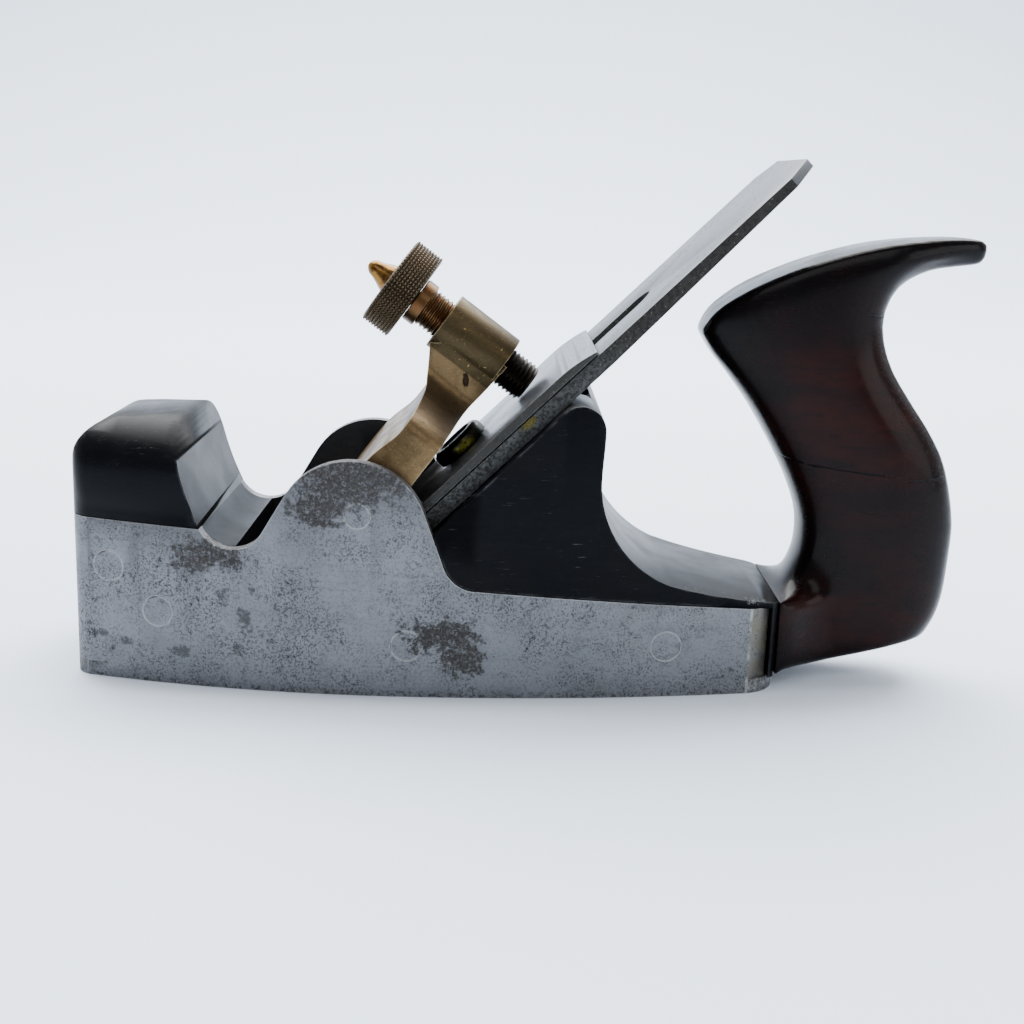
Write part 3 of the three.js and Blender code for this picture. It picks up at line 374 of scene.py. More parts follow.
def ebonised_wood():
    """Blackened wood with fine scratches, rubbed edges, wear over the heel, and wear with a painted highlight
    on the hump.
    """
    look = Look("ebonised_wood", srgb(7, 8, 11), 0.30, 0.0, Specular_IOR_Level=0.05)
    grain = look.noise(0.0016, 5.0, 0.6, scale=(0.05, 1, 1))
    look.tint(look.step(grain, 0.45, 0.75, 0, 0.6), srgb(11, 12, 15))
    look.tint(look.step(look.noise(0.03, 3.0), 0.5, 0.75, 0, 0.5), srgb(18, 15, 16))
    scratches = look.step(look.noise(0.0006, 3.0, 0.7, scale=(0.03, 1, 1.2), turn=(0, 0.06, 0)), 0.64, 0.72)
    scratches = look.both(scratches, look.step(look.noise(0.014, 2.0), 0.45, 0.6))
    look.tint(look.both(scratches, 0.22), srgb(110, 112, 118))
    rubbed = look.both(look.edges(0.0014, 0.03, 0.35), look.step(look.noise(0.004, 4.0, 0.7), 0.40, 0.60))
    look.tint(look.both(rubbed, 0.30), srgb(120, 122, 126))
    # The hump's near rim: pale wear, with a painted highlight on its upward faces.
    hump = look.near(HUMP_RIM, (0.016, 0.006, 0.009), 0.25, grain=0.006, soft=0.5)
    worn = look.both(hump, look.facing("Z", 0.15, 0.6), look.step(look.noise(0.002, 4.0, 0.75), 0.4, 0.55))
    look.tint(look.both(worn, 0.5), srgb(150, 150, 150))
    chips = look.near(TAIL_CHIP, (0.0040, 0.003, 0.0009), 0.6, grain=0.0015, soft=0.3)
    chips = look.both(chips, look.step(look.noise(0.0009, 4.0, 0.75), 0.50, 0.60), 0.6)
    look.tint(chips, srgb(120, 120, 119))
    look.roughen(look.step(look.noise(0.012, 4.0), 0.35, 0.7), 0.38)
    look.roughen(worn, 0.5)
    pores = look.step(look.noise(0.0005, 3.0, 0.7, scale=(0.12, 1, 1)), 0.6, 0.7)
    look.raise_by(pores, -0.00002)
    look.raise_by(grain, 0.000012)
    look.raise_by(scratches, -0.00002)
    return look.done()


# Shrinkage cracks round the handle, as the two ends of each in x and z.
HANDLE_CRACKS = (
    ((0.0885, 0.0632), (0.0985, 0.0612)),
    ((0.0985, 0.0612), (0.1215, 0.0588)),
    ((0.1290, 0.0578), (0.1420, 0.0585)),
    ((0.1120, 0.1010), (0.1190, 0.1005)),
)


def rosewood():
    """Dark polished rosewood that glows red where the light reaches into it."""
    look = Look("rosewood_handle", srgb(7, 5, 6), 0.20, 0.0, Specular_IOR_Level=0.07, Coat_Weight=0.03,
                Coat_Roughness=0.1)
    glow_side = look.near((0.114, -0.014, 0.078), (0.024, 0.03, 0.026), 0.35, grain=0.02, soft=0.7)
    glow_foot = look.near((0.112, -0.016, 0.020), (0.026, 0.03, 0.010), 0.45, grain=0.012, soft=0.7)
    glow_low = look.near((0.122, -0.016, 0.042), (0.016, 0.03, 0.014), 0.45, grain=0.012, soft=0.7)
    glow_far = look.near((0.115, 0.016, 0.050), (0.030, 0.012, 0.045), 0.45, grain=0.02, soft=0.6)
    streaks = look.noise(0.009, 5.0, 0.55, scale=(0.35, 1, 1.2), turn=(0, 0.5, 0))
    glow = look.most(glow_side, look.both(glow_foot, 0.9), look.both(glow_low, 0.6), glow_far)
    look.tint(look.both(glow, look.step(streaks, 0.36, 0.68, 0.35, 1.0), 0.8), srgb(38, 11, 7))
    dark = look.noise(0.0028, 5.0, 0.65, scale=(0.2, 1, 1.2), turn=(0, 0.9, 0))
    look.tint(look.step(dark, 0.52, 0.72, 0, 0.75), srgb(7, 6, 7))
    back = look.near((0.127, -0.008, 0.078), (0.006, 0.01, 0.022), 0.2,
                     grain=0.01, soft=0.4, turn=(0, -0.42, 0))
    pits = look.both(look.step(look.noise(0.0008, 3.0, 0.75), 0.60, 0.66), back)
    look.tint(pits, srgb(3, 3, 3))
    for start, end in HANDLE_CRACKS:
        look.raise_by(crack(look, start, end), -0.00035)
    look.roughen(look.step(look.noise(0.015, 4.0), 0.4, 0.7), 0.30)
    pores = look.step(look.noise(0.0006, 3.0, 0.7, scale=(0.15, 1, 1), turn=(0, 0.9, 0)), 0.6, 0.7)
    look.raise_by(pores, -0.000015)
    look.raise_by(pits, -0.00025)
    return look.done()


def crack(look, start, end):
    """Darkens a thin line between two places in x and z, and gives back where it is."""
    middle = Vector(((start[0] + end[0]) / 2, 0, (start[1] + end[1]) / 2))
    half = math.hypot(end[0] - start[0], end[1] - start[1]) / 2
    tilt = -math.atan2(end[1] - start[1], end[0] - start[0])
    line = look.near(middle, (half, 0.1, 0.00022), 0.7, grain=0.003, soft=0.3, turn=(0, tilt, 0))
    look.tint(line, srgb(4, 4, 5))
    return line


def gunmetal():
    """Cast gunmetal, mottled and pitted, with a dark oiled boss and a band of painted shade under it."""
    look = Look("gunmetal_cast", srgb(103, 84, 57), 0.40, 0.88)
    look.tint(look.step(look.noise(0.010, 4.0), 0.40, 0.66, 0, 0.8), srgb(76, 61, 39))
    look.tint(look.step(look.noise(0.0035, 5.0, 0.7), 0.52, 0.72, 0, 0.6), srgb(66, 51, 33))
    grains = look.noise(0.0007, 4.0, 0.75)
    look.tint(look.step(grains, 0.55, 0.72, 0, 0.6), srgb(146, 124, 88))
    look.tint(look.step(look.noise(0.0006, 3.0, 0.7, shift=(5, 5, 5)), 0.58, 0.68, 0, 0.6), srgb(64, 50, 34))
    # Painted shade: a dark band across the lever's arm, under the boss.
    band = look.near((-0.0014, 0, 0.0717), (0.018, 0.03, 0.0066), 0.12,
                     grain=0.008, soft=0.35, turn=(0, 0.73, 0))
    look.tint(look.both(band, 0.7), srgb(36, 27, 17))
    boss = look.both(
        look.step(from_screw_axis(look), LEVER_BOSS_R + 0.0002, LEVER_BOSS_R + 0.0006, 1.0, 0.0),
        look.near(BOSS_CENTRE, (0.0145, 0.02, 0.0145), soft=0.08),
    )
    look.tint(look.both(boss, 0.78), srgb(42, 36, 20))
    gold = look.both(boss, look.step(look.noise(0.0010, 4.0, 0.8, shift=(2, 8, 1)), 0.63, 0.69))
    look.tint(look.both(gold, 0.7), srgb(196, 166, 92))
    pits = look.step(look.noise(0.0016, 4.0, 0.75, shift=(7, 1, 4)), 0.66, 0.70)
    big_pit = look.near((0.0068, -0.006, 0.0800), (0.0007, 0.01, 0.0016), 0.5, grain=0.001, soft=0.3)
    pits = look.most(pits, big_pit)
    look.tint(pits, srgb(38, 29, 19))
    look.tint(look.both(look.edges(0.0006), 0.6), srgb(226, 206, 160))
    look.roughen(look.step(look.noise(0.005, 4.0), 0.4, 0.7), 0.52)
    look.raise_by(grains, 0.000025)
    look.raise_by(pits, -0.0002)
    return look.done()


def from_screw_axis(look):
    """How far a place lies from the lever screw's axis."""
    away = look.node("ShaderNodeVectorMath", operation="SUBTRACT")
    look.links.new(look.place, away.inputs[0])
    away.inputs[1].default_value = SCREW_POINT
    square = look.node("ShaderNodeVectorMath", operation="CROSS_PRODUCT")
    look.links.new(away.outputs["Vector"], square.inputs[0])
    square.inputs[1].default_value = SCREW_AXIS
    length = look.node("ShaderNodeVectorMath", operation="LENGTH")
    look.links.new(square.outputs["Vector"], length.inputs[0])
    return length.outputs["Value"]


def bronze_head():
    """The screw's head: dark knurled brass with bright crests, and a polished pip."""
    look = Look("bronze_head", srgb(62, 51, 38), 0.36, 0.9)
    look.tint(look.step(look.noise(0.006, 4.0), 0.45, 0.7, 0, 0.7), srgb(50, 46, 40))
    crests = look.edges(0.0003, 0.01, 0.15)
    look.tint(look.both(crests, 0.55), srgb(150, 130, 100))
    centre = SCREW_POINT - SCREW_AXIS * PIP_DISTANCE
    pip = look.near(tuple(centre), (PIP_REACH,) * 3, 0.0, soft=0.1)
    look.tint(pip, srgb(124, 90, 42))
    look.tint(look.both(pip, look.step(look.noise(0.0026, 4.0), 0.46, 0.62)), srgb(84, 58, 30))
    look.roughen(pip, 0.24)
    look.raise_by(look.noise(0.0006, 3.0), 0.00002)
    return look.done()


def bronze_thread():
    """The screw's shank: coppery near the head, and black with oil beyond the lever."""
    look = Look("bronze_thread", srgb(82, 60, 36), 0.34, 0.9)
    look.tint(look.step(look.noise(0.0035, 4.0), 0.45, 0.65, 0, 0.8), srgb(98, 62, 32))
    look.tint(look.step(look.noise(0.0015, 4.0, 0.7), 0.55, 0.7, 0, 0.8), srgb(46, 35, 26))
    tip = SCREW_POINT + SCREW_AXIS * TIP_DISTANCE
    oily = look.near(tuple(tip), (OIL_REACH,) * 3, 0.15, grain=0.004, soft=0.25)
    look.tint(look.both(oily, 0.92), srgb(28, 27, 25))
    look.tint(look.both(look.edges(0.0003, 0.02, 0.3), inverse(look, oily), 0.6), srgb(214, 188, 140))
    look.roughen(oily, 0.40)
    return look.done()


def side_faces(look):
    """1 on faces that look straight out to either side of the plane."""
    return look.most(look.facing("Y", 0.75, 0.9), look.facing("Y", -0.75, -0.9))


def iron_steel():
    """The cutting iron: grey and stained on its face, rough and dark along its sides."""
    look = Look("iron_steel", srgb(89, 91, 95), 0.40, 0.9)
    look.tint(look.step(look.noise(0.0022, 5.0, 0.65), 0.45, 0.72, 0, 0.6), srgb(84, 86, 90))
    look.tint(look.step(look.noise(0.012, 4.0), 0.5, 0.72, 0, 0.5), srgb(74, 75, 80))
    pits = look.both(
        look.step(look.noise(0.0012, 4.0, 0.75), 0.58, 0.64),
        look.step(look.noise(0.012, 3.0, 0.6, shift=(4, 4, 1)), 0.40, 0.58),
    )
    look.tint(pits, srgb(34, 33, 36))
    side = side_faces(look)
    upper = look.step(look.along("Z"), 0.070, 0.100)
    look.tint(look.both(side, 0.9), srgb(72, 73, 72))
    look.tint(look.both(side, upper, 0.85), srgb(38, 36, 33))
    specks = look.step(look.noise(0.0007, 4.0, 0.8, shift=(2, 2, 6)), 0.48, 0.60)
    look.tint(look.both(side, specks, 0.8), srgb(26, 25, 24))
    flecks = look.step(look.noise(0.0008, 4.0, 0.8, shift=(8, 2, 6)), 0.60, 0.68)
    look.tint(look.both(side, flecks, 0.5), srgb(140, 136, 124))
    # A small yellow mark on the near side.
    yellow_mark = look.near((0.0238, -0.027, 0.0722), (0.0024, 0.002, 0.0010), 0.45,
                      grain=0.0012, soft=0.35, turn=WITH_IRON)
    look.tint(look.both(yellow_mark, 0.7), srgb(96, 86, 14))
    look.tint(look.both(look.edges(0.0005), 0.5, inverse(look, side)), srgb(196, 196, 194))
    look.roughen(look.most(side, pits), 0.56)
    look.raise_by(pits, -0.0001)
    look.raise_by(look.both(side, specks), -0.00008)
    return look.done(metallic=look.step(look.most(look.both(side, 0.5), pits), 0.0, 1.0, 0.9, 0.5))


def cap_steel():
    """The cap iron: smoother than the cutting iron, with dark sides."""
    look = Look("cap_steel", srgb(100, 102, 106), 0.34, 0.92)
    look.tint(look.step(look.noise(0.010, 4.0), 0.46, 0.68, 0, 0.6), srgb(92, 93, 98))
    pits = look.both(
        look.step(look.noise(0.0010, 4.0, 0.75), 0.58, 0.64),
        look.step(look.noise(0.010, 3.0, 0.6, shift=(4, 4, 1)), 0.38, 0.58),
    )
    look.tint(pits, srgb(52, 49, 52))
    side = side_faces(look)
    look.tint(look.both(side, 0.92), srgb(36, 34, 30))
    flecks = look.step(look.noise(0.0008, 4.0, 0.8, shift=(8, 2, 6)), 0.60, 0.68)
    look.tint(look.both(side, flecks, 0.4), srgb(120, 114, 100))
    look.tint(look.both(look.edges(0.0005), 0.6), srgb(206, 206, 202))
    look.roughen(look.most(side, pits), 0.5)
    look.raise_by(pits, -0.0001)
    look.raise_by(look.noise(0.002, 3.0), 0.00002)
    return look.done(metallic=look.step(look.most(side, pits), 0.0, 1.0, 0.92, 0.55))


def oiled_boss():
    """The cap iron's boss, black with oil, with a yellow glint on its near end."""
    look = Look("oiled_boss", srgb(22, 21, 17), 0.28, 0.8)
    look.tint(look.step(look.noise(0.0022, 4.0, 0.7), 0.44, 0.6), srgb(12, 12, 11))
    low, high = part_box("cap_iron_boss")
    middle = (low + high) / 2
    glint = look.near((middle.x + 0.001, low.y + 0.0015, middle.z + 0.001), (0.0030, 0.004, 0.0016), 0.4,
                      grain=0.002, soft=0.4, turn=WITH_IRON)
    glint = look.both(glint, look.step(look.noise(0.0010, 4.0, 0.75), 0.38, 0.6), 0.9)
    look.tint(glint, srgb(116, 112, 26))
    look.raise_by(look.noise(0.001, 3.0), 0.00004)
    return look.done()


# ---------------------------------------------------------------- meshes taken from CAD nodes

# Angles in degrees: between faces that count as one flat face, across an edge that gets broken by a
# round, and across an edge that is shaded sharp.
FLAT_ANGLE = 0.4
EDGE_ANGLE = 32
METAL_SHARP = 28
WOOD_SHARP = 35
THREAD_SHARP = 25
HEAD_SHARP = 30
NEVER_SHARP = 180


def as_packed(node, merge):
    """A node's solid as an editable mesh, with its corners joined and its facets kept."""
    mesh = bmesh.new()
    mesh.from_mesh(frame["nodes"][node].data)
    bmesh.ops.remove_doubles(mesh, verts=mesh.verts[:], dist=merge)
    return mesh


def opened(node):
    """A node's solid as an editable mesh, with its corners joined and its flat faces whole."""
    mesh = as_packed(node, MERGE)
    bmesh.ops.dissolve_degenerate(mesh, edges=mesh.edges[:], dist=MERGE)
    bmesh.ops.dissolve_limit(
        mesh, angle_limit=math.radians(FLAT_ANGLE), verts=mesh.verts[:], edges=mesh.edges[:],
        delimit={"NORMAL"},
    )
    return mesh


def sharp_edges(mesh, angle):
    return [e for e in mesh.edges if len(e.link_faces) == 2 and e.calc_face_angle() > math.radians(angle)]


def soften(mesh, edges, width, segments=2):
    """Breaks edges with a round of a width."""
    bmesh.ops.bevel(
        mesh, geom=edges, offset=width, offset_type="OFFSET", segments=segments, profile=0.5,
        affect="EDGES", clamp_overlap=True, harden_normals=False,
    )


def finished(mesh, node, body, material, sharp_angle=METAL_SHARP):
    """Turns an editable mesh into the piece that stands for a node."""
    name = node + "_look"
    data = bpy.data.meshes.new(name)
    bmesh.ops.triangulate(mesh, faces=[f for f in mesh.faces if len(f.verts) > 4])
    bmesh.ops.recalc_face_normals(mesh, faces=mesh.faces[:])
    mesh.to_mesh(data)
    mesh.free()
    piece = bpy.data.objects.new(name, data)
    bpy.context.scene.collection.objects.link(piece)
    data.shade_smooth()
    data.set_sharp_from_angle(angle=math.radians(sharp_angle))
    data.materials.append(material)
    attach(piece, body)
    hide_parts(node)
    return piece


def metal_piece(node, body, material, width, keep_sharp=None):
    """A metal node with its edges broken by a small round."""
    mesh = opened(node)
    edges = sharp_edges(mesh, EDGE_ANGLE)
    if keep_sharp:
        edges = [e for e in edges if not keep_sharp(e)]
    soften(mesh, edges, width)
    return finished(mesh, node, body, material)


def on_sole_seam(edge):
    """Whether an edge lies in the seam between the plates and the sole, which is finished flush."""
    return all(abs(v.co.z - SOLE_TOP) < 0.0001 for v in edge.verts)


# What is left of the CAD gap round a rivet that is hammered into its hole.
RIVET_GAP = 0.00006


def flush_end(node, body, material):
    """A rivet or pin whose ends are finished flush: the gap round it is nearly closed."""
    low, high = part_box(node)
    middle = (low + high) / 2
    radius = (high.x - low.x) / 2
    grown = (radius + CAD_GAP - RIVET_GAP) / radius
    mesh = as_packed(node, FINE_MERGE)
    for vert in mesh.verts:
        vert.co.x = middle.x + (vert.co.x - middle.x) * grown
        vert.co.z = middle.z + (vert.co.z - middle.z) * grown
    return finished(mesh, node, body, material)


# ---------------------------------------------------------------- the wooden pieces

# How far sideways a face's normal leans: more than SIDE_LEAN on a block's side faces, and less than
# PROFILE_LEAN on the faces of its profile. Their edges are the block's outline.
SIDE_LEAN = 0.6
PROFILE_LEAN = 0.4
OUTLINE_ANGLE = 35


def outline_edges(mesh, low_z):
    """Edges between a bowed side face and the profile that runs over the top, above a height."""
    found = []
    for edge in mesh.edges:
        if len(edge.link_faces) != 2 or edge.calc_face_angle() < math.radians(OUTLINE_ANGLE):
            continue
        lean = sorted(abs(f.normal.y) for f in edge.link_faces)
        above = min(v.co.z for v in edge.verts) > low_z
        if lean[0] < PROFILE_LEAN and lean[1] > SIDE_LEAN and above:
            found.append(edge)
    return found


def off_bed(edges):
    """The edges that do not border the bed, which the iron lies on and which stays crisp."""
    return [e for e in edges if not any(f.normal.dot(OFF_IRON) > 0.99 for f in e.link_faces)]


# The hump carries a wide round for a depth below its top, and the saddle a small one.
HUMP_DEPTH = 0.024
HUMP_ABOVE_Z = 0.026
HUMP_ROUND = 0.0026
SADDLE_ABOVE_Z = 0.0245
SADDLE_ROUND = 0.0009


def make_rear_infill(material):
    """The bed block, with its outline softened, most of all on the hump."""
    mesh = opened("rear_infill")
    hump_z = INFILL_HIGH.z - HUMP_DEPTH
    upper = off_bed(outline_edges(mesh, HUMP_ABOVE_Z))
    soften(mesh, [e for e in upper if min(v.co.z for v in e.verts) > hump_z], HUMP_ROUND, 4)
    soften(mesh, off_bed(outline_edges(mesh, SADDLE_ABOVE_Z)), SADDLE_ROUND, 3)
    return finished(mesh, "rear_infill", "body", material, WOOD_SHARP)


def make_front_infill(material):
    """The crowned toe infill needs no more softening than its own shape gives it."""
    mesh = as_packed("front_infill", FINE_MERGE)
    return finished(mesh, "front_infill", "body", material, WOOD_SHARP)


HANDLE_VOXEL = 0.0008
HANDLE_ROUNDS = 2
# The foot is smoothed more, behind the face where it meets the infill, round its crest and beneath.
FOOT_ROUNDS = 160
FOOT_CLEAR = 0.0008
FOOT_RAMP = 0.002
CREST_REACH = 0.013
CREST_SPREAD = 1.4
UNDER_REACH = 0.008


def ramp(share):
    """A share held between 0 and 1."""
    return min(1, max(0, share))


def smoothing(piece, name, rounds, group=None):
    """Evens out a piece's surface, by the weights of a vertex group where one is named."""
    smooth = piece.modifiers.new(name, "SMOOTH")
    smooth.factor = 0.5
    smooth.iterations = rounds
    if group:
        smooth.vertex_group = group


def make_handle(material):
    """The handle's carved surface, evened out from the CAD solid, most of all round its foot."""
    mesh = as_packed("handle", MERGE)
    piece = finished(mesh, "handle", "body", material, NEVER_SHARP)
    remesh = piece.modifiers.new("even", "REMESH")
    remesh.mode = "VOXEL"
    remesh.voxel_size = HANDLE_VOXEL
    apply_modifiers(piece)
    group = piece.vertex_groups.new(name="foot")
    for vert in piece.data.vertices:
        behind = ramp((vert.co.x - FOOT_FACE_X - FOOT_CLEAR) / FOOT_RAMP)
        level = ramp(CREST_SPREAD * (1 - abs(vert.co.z - FOOT_CREST_Z) / CREST_REACH))
        under = ramp(1 - (vert.co.z - HANDLE_LOW.z) / UNDER_REACH)
        group.add([vert.index], behind * max(level, under), "REPLACE")
    smoothing(piece, "foot", FOOT_ROUNDS, "foot")
    smoothing(piece, "carve", HANDLE_ROUNDS)
    apply_modifiers(piece)
    piece.data.shade_smooth()
    inside(piece.data, HANDLE_LOW, HANDLE_HIGH)
    return piece


def apply_modifiers(piece):
    """Makes what a piece's modifiers do to it its own mesh."""
    bpy.context.view_layer.update()
    evaluated = piece.evaluated_get(bpy.context.evaluated_depsgraph_get())
    made = bpy.data.meshes.new_from_object(evaluated)
    piece.modifiers.clear()
    piece.data = made


def inside(data, low, high):
    """Holds a mesh inside a box, where smoothing has carried it past."""
    count = len(data.vertices)
    places = np.zeros(count * 3, np.float32)
    data.vertices.foreach_get("co", places)
    places = np.clip(places.reshape(count, 3), np.array(low), np.array(high))
    data.vertices.foreach_set("co", places.astype(np.float32).ravel())
    data.update()


# ---------------------------------------------------------------- the lever screw

def screw_frame():
    """Two directions square to the screw's axis, and the way up it from the iron."""
    up = -SCREW_AXIS
    side = Vector((0, 1, 0))
    return side, side.cross(up).normalized(), up


def swept(node, body, material, rings, around, radius_at, sharp_angle):
    """A closed surface round the screw's axis: radius_at(ring, angle) at each ring's distance."""
    side, cross, up = screw_frame()
    mesh = bmesh.new()
    rows = []
    for index, distance in enumerate(rings):
        row = []
        for step in range(around):
            angle = 2 * math.pi * step / around
            radius = radius_at(index, angle)
            arm = side * math.cos(angle) + cross * math.sin(angle)
            row.append(mesh.verts.new(SCREW_POINT + up * distance + arm * radius))
        rows.append(row)
    for lower, upper in zip(rows, rows[1:]):
        for step in range(around):
            after = (step + 1) % around
            mesh.faces.new((lower[step], lower[after], upper[after], upper[step]))
    for row, distance in ((rows[0], rings[0]), (rows[-1], rings[-1])):
        centre = mesh.verts.new(SCREW_POINT + up * distance)
        for step in range(around):
            mesh.faces.new((centre, row[step], row[(step + 1) % around]))
    return finished(mesh, node, body, material, sharp_angle)


THREAD_PITCH = 0.00127
THREAD_DEPTH = 0.00075
THREAD_FORM = 1.2  # 1 is a plain V, and more rounds its root
THREAD_LEAD_IN = 0.0009
LEAD_IN_SLOPE = 0.7
THREAD_CUTS = 8  # rings in one pitch
THREAD_AROUND = 64
# The plain collar under the head, which reaches across the CAD's gap to touch it.
COLLAR_LENGTH = 0.0033
COLLAR_REACH = 0.0002
COLLAR_CHAMFER = 0.0003
COLLAR_ZONE = 0.006  # the collar and its shoulder, where no crest of the thread is measured
STEP = 0.00002  # the least distance between two rings


def make_shank(material):
    """The screw's shank with a true helical thread and a plain collar under the head."""
    low, high = span_on_axis("lever_screw_shank")
    collar_r = reach_at("lever_screw_shank", high - END_STRETCH, high)
    crest_r = reach_at("lever_screw_shank", low, high - COLLAR_ZONE)
    collar_low = high - COLLAR_LENGTH
    high += COLLAR_REACH
    steps = round((collar_low - low) / (THREAD_PITCH / THREAD_CUTS))
    rings = [low + (collar_low - low) * i / steps for i in range(steps + 1)]
    rings += [collar_low + STEP, collar_low + COLLAR_CHAMFER, high - COLLAR_CHAMFER, high]
    collar_radii = (collar_r - COLLAR_CHAMFER, collar_r, collar_r, collar_r - COLLAR_CHAMFER)

    def radius_at(index, angle):
        if index > steps:
            return collar_radii[index - steps - 1]
        distance = rings[index]
        turn = (distance / THREAD_PITCH + angle / (2 * math.pi)) % 1
        groove = THREAD_DEPTH * abs(2 * turn - 1) ** THREAD_FORM
        lead = max(0, THREAD_LEAD_IN - (distance - low))
        return max(crest_r - groove, crest_r - THREAD_DEPTH) - LEAD_IN_SLOPE * lead

    return swept("lever_screw_shank", "screw_shank", material, rings, THREAD_AROUND, radius_at, THREAD_SHARP)


def rim_end(radius):
    """How far up the screw's axis the head is still wider than a radius."""
    ends = []
    for vert in frame["nodes"]["lever_screw_head"].data.vertices:
        offset = vert.co - SCREW_POINT
        distance = offset.dot(-SCREW_AXIS)
        if (offset + SCREW_AXIS * distance).length > radius:
            ends.append(distance)
    return max(ends)


KNURL_ROWS = 9
KNURL_TEETH = 72
KNURL_DEPTH = 0.0005
KNURL_CUTS = 4  # rings in one row
KNURL_AROUND = 6  # corners round one tooth
RIM_INSIDE_R = 0.009  # the rim is wider than this, and the pip narrower
SPINDLE_R = 0.0022
SPINDLE_TOP_R = 0.0024
LOWER_CHAMFER = 0.0007
UPPER_CHAMFER = 0.0009
PIP_SEAT_R = 0.0047
# The knurl covers this share of the rim, and starts this far above its lower face.
KNURL_SHARE = 0.97
KNURL_START = 0.00012
# The pip's radius at shares of its length.
PIP = (
    (0.0, 0.0042), (0.2, 0.0036), (0.42, 0.0029), (0.6, 0.0024), (0.78, 0.0021), (0.9, 0.0016), (1.0, 0.0007),
)


def make_head(material):
    """The knurled head: rows of small square points round its rim, and the pip it is turned with."""
    spindle_low, pip_high = span_on_axis("lever_screw_head")
    rim_high = rim_end(RIM_INSIDE_R)
    head_r = reach_at("lever_screw_head", 0, rim_high)
    cuts = KNURL_ROWS * KNURL_CUTS
    rim = [rim_high * i / cuts for i in range(cuts + 1)]
    pip_length = pip_high - rim_high
    rings = [spindle_low, -STEP, 0.0, 0.0]
    radii = [SPINDLE_R, SPINDLE_R, SPINDLE_TOP_R, head_r - LOWER_CHAMFER]
    first_rim = len(rings)
    rings += [distance * KNURL_SHARE + KNURL_START for distance in rim]
    radii += [head_r] * len(rim)
    rings += [rim_high, rim_high]
    radii += [head_r - UPPER_CHAMFER, PIP_SEAT_R]
    rings += [rim_high + 0.00001] + [rim_high + share * pip_length for share, _ in PIP[1:]]
    radii += [radius for _, radius in PIP]

    def radius_at(index, angle):
        row = index - first_rim
        if not 0 <= row < len(rim):
            return radii[index]
        across = abs(2 * ((row / KNURL_CUTS) % 1) - 1)
        round_rim = abs(2 * ((angle * KNURL_TEETH / (2 * math.pi)) % 1) - 1)
        groove = max(across ** 2, round_rim ** 2)
        return head_r - KNURL_DEPTH * groove

    around = KNURL_TEETH * KNURL_AROUND
    return swept("lever_screw_head", "screw_head", material, rings, around, radius_at, HEAD_SHARP)


# ---------------------------------------------------------------- the whole plane

# The rounds that break the edges of the metal pieces.
PLATE_ROUND = 0.00035
LEVER_ROUND = 0.0004
IRON_ROUND = 0.00025
CAP_ROUND = 0.00018
SMALL_ROUND = 0.0003


def build_plane():
    """Every piece of the plane, each in place of its CAD node."""
    steel = steel_sides()
    black = ebonised_wood()
    bronze_cast = gunmetal()
    dark_iron = iron_steel()
    for node in ("sole_plate", "side_plate_left", "side_plate_right"):
        metal_piece(node, "body", steel, PLATE_ROUND, on_sole_seam)
    for node in ("front_rivet_upper", "front_rivet_lower", "rear_rivet_front", "rear_rivet_back",
                 "lever_pivot_pin"):
        flush_end(node, "body", steel)
    make_front_infill(black)
    make_rear_infill(black)
    make_handle(rosewood())
    metal_piece("lever_cap", "lever", bronze_cast, LEVER_ROUND)
    make_shank(bronze_thread())
    make_head(bronze_head())
    metal_piece("cutting_iron", "iron", dark_iron, IRON_ROUND)
    metal_piece("cap_iron", "cap", cap_steel(), CAP_ROUND)
    metal_piece("cap_iron_boss", "cap", oiled_boss(), SMALL_ROUND)
    metal_piece("cap_iron_screw", "cap", dark_iron, SMALL_ROUND)


# ---------------------------------------------------------------- floor, light and camera

SWEEP_DEPTH = 1.0
SWEEP_RADIUS = 1.0
SWEEP_STEPS = 16
STAGE_HALF = 4.0
STAGE_TOP = 1.02


def build_stage():
    """A pale floor that sweeps up into a backdrop far behind the object."""
    profile = [(-STAGE_HALF, 0.0), (SWEEP_DEPTH, 0.0)]
    for i in range(1, SWEEP_STEPS + 1):
        angle = math.pi / 2 * i / SWEEP_STEPS
        depth = SWEEP_DEPTH + SWEEP_RADIUS * math.sin(angle)
        profile.append((depth, SWEEP_RADIUS * (1 - math.cos(angle))))
    profile.append((SWEEP_DEPTH + SWEEP_RADIUS, STAGE_TOP))
    mesh = bmesh.new()
    rows = [[mesh.verts.new((x, y, z)) for y, z in profile] for x in (-STAGE_HALF, STAGE_HALF)]
    for i in range(len(profile) - 1):
        mesh.faces.new((rows[0][i], rows[1][i], rows[1][i + 1], rows[0][i + 1]))
    bmesh.ops.recalc_face_normals(mesh, faces=mesh.faces[:])
    data = bpy.data.meshes.new("floor")
    mesh.to_mesh(data)
    mesh.free()
    data.shade_smooth()
    floor = bpy.data.objects.new("floor", data)
    bpy.context.scene.collection.objects.link(floor)
    look = Look("floor_pale", srgb(226, 235, 248), 0.7)
    data.materials.append(look.done())


WORLD_FRONT = 0.32
WORLD_BACK = 2.3
WORLD_TOP_SHARE = 0.45
WORLD_TINT = (0.93, 0.965, 1.0, 1.0)


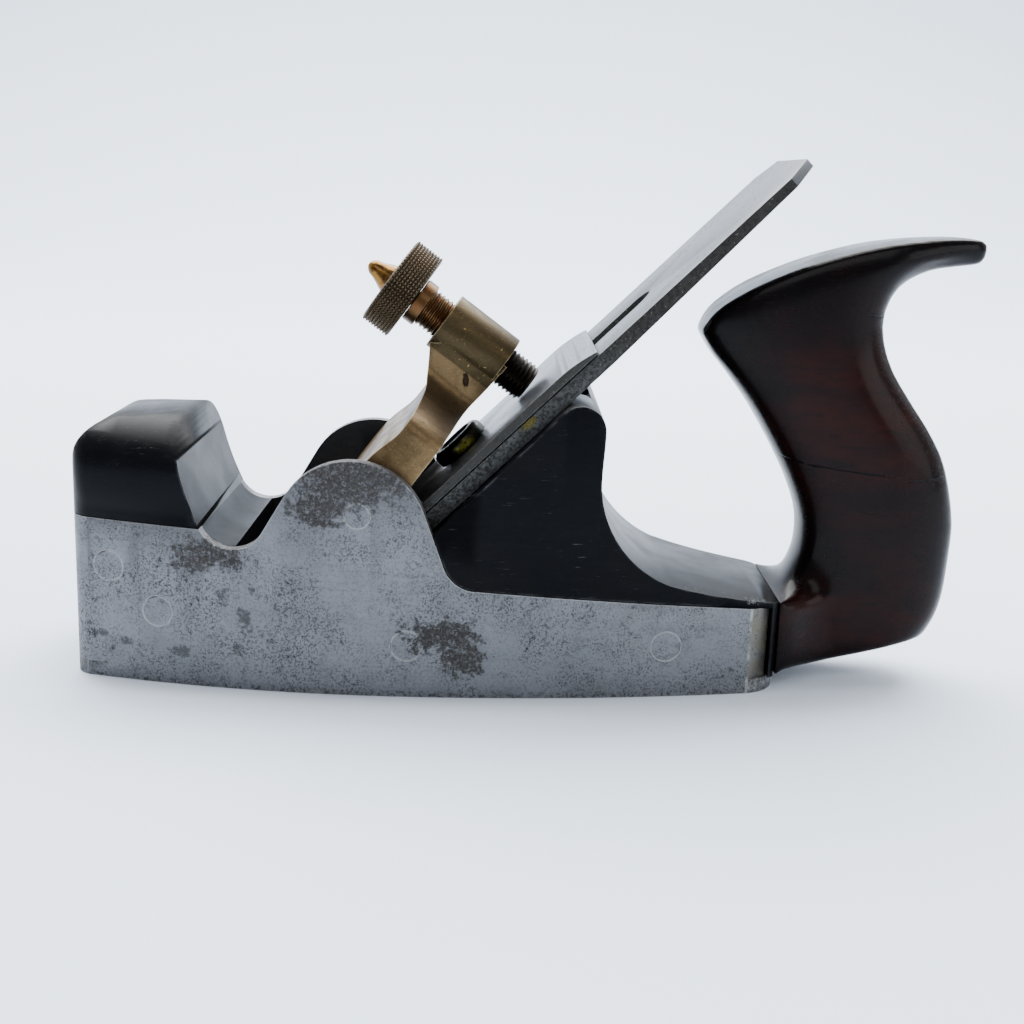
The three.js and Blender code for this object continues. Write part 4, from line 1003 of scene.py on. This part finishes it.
def build_world():
    """Soft studio surroundings: bright behind the object, dimmer overhead and in front of it."""
    world = bpy.data.worlds.new("studio")
    bpy.context.scene.world = world
    world.use_nodes = True
    nodes, links = world.node_tree.nodes, world.node_tree.links
    background = nodes["Background"]
    place = nodes.new("ShaderNodeTexCoord").outputs["Generated"]
    split = nodes.new("ShaderNodeSeparateXYZ")
    links.new(place, split.inputs[0])

    def spread(axis, low, high, bottom, top):
        made = nodes.new("ShaderNodeMapRange")
        made.interpolation_type = "SMOOTHSTEP"
        links.new(split.outputs[axis], made.inputs["Value"])
        made.inputs["From Min"].default_value = low
        made.inputs["From Max"].default_value = high
        made.inputs["To Min"].default_value = bottom
        made.inputs["To Max"].default_value = top
        return made.outputs["Result"]

    strength = nodes.new("ShaderNodeMath")
    strength.operation = "MULTIPLY"
    links.new(spread("Y", -0.5, 0.45, WORLD_FRONT, WORLD_BACK), strength.inputs[0])
    links.new(spread("Z", 0.55, 0.95, 1.0, WORLD_TOP_SHARE), strength.inputs[1])
    links.new(strength.outputs[0], background.inputs["Strength"])
    background.inputs["Color"].default_value = WORLD_TINT


def area_light(name, place, target, size, power, colour):
    data = bpy.data.lights.new(name, "AREA")
    data.shape = "RECTANGLE"
    data.size, data.size_y = size
    data.energy = power
    data.color = colour
    light = bpy.data.objects.new(name, data)
    light.location = place
    light.rotation_euler = (Vector(target) - Vector(place)).to_track_quat("-Z", "Y").to_euler()
    bpy.context.scene.collection.objects.link(light)


# Each light's name, place, target, size, power in watts and colour.
LIGHTS = (
    ("back_top", (0.0, 0.95, 1.35), (0.0, 0.1, 0.0), (2.4, 1.2), 96.0, (0.98, 0.99, 1.0)),
    ("front_floor", (0.0, -1.3, 1.2), (0.0, -0.2, 0.0), (1.6, 0.8), 12.0, (0.97, 0.985, 1.0)),
    ("right_front", (1.1, -0.8, 0.35), (0.05, 0.0, 0.03), (0.8, 0.6), 6.0, (0.95, 0.975, 1.0)),
    ("backdrop", (0.0, 0.2, 1.7), (0.0, 2.0, 0.2), (1.8, 0.6), 45.0, (0.97, 0.985, 1.0)),
)


def build_lights():
    for light in LIGHTS:
        area_light(*light)


CAMERA_PLACE = (0.0170, -0.3783, 0.1322)
CAMERA_DIP = math.radians(13.33)
CAMERA_TURN = math.radians(0.53)
CAMERA_ROLL = math.radians(2.07)
CAMERA_LENS = 49.2
CAMERA_SENSOR = 36
CAMERA_NEAR = 0.01
CAMERA_FAR = 20


def build_camera():
    forward = Vector((
        math.sin(CAMERA_TURN) * math.cos(CAMERA_DIP),
        math.cos(CAMERA_TURN) * math.cos(CAMERA_DIP),
        -math.sin(CAMERA_DIP),
    ))
    level = Vector((math.cos(CAMERA_TURN), -math.sin(CAMERA_TURN), 0))
    upright = level.cross(forward)
    right = level * math.cos(CAMERA_ROLL) + upright * math.sin(CAMERA_ROLL)
    up = upright * math.cos(CAMERA_ROLL) - level * math.sin(CAMERA_ROLL)
    data = bpy.data.cameras.new("camera")
    data.lens = CAMERA_LENS
    data.sensor_width = CAMERA_SENSOR
    data.clip_start = CAMERA_NEAR
    data.clip_end = CAMERA_FAR
    camera = bpy.data.objects.new("camera", data)
    turned = Matrix((right, up, -forward)).transposed().to_4x4()
    camera.matrix_world = Matrix.Translation(CAMERA_PLACE) @ turned
    bpy.context.scene.collection.objects.link(camera)
    bpy.context.scene.camera = camera


build_camera()
build_plane()
build_stage()
build_world()
build_lights()
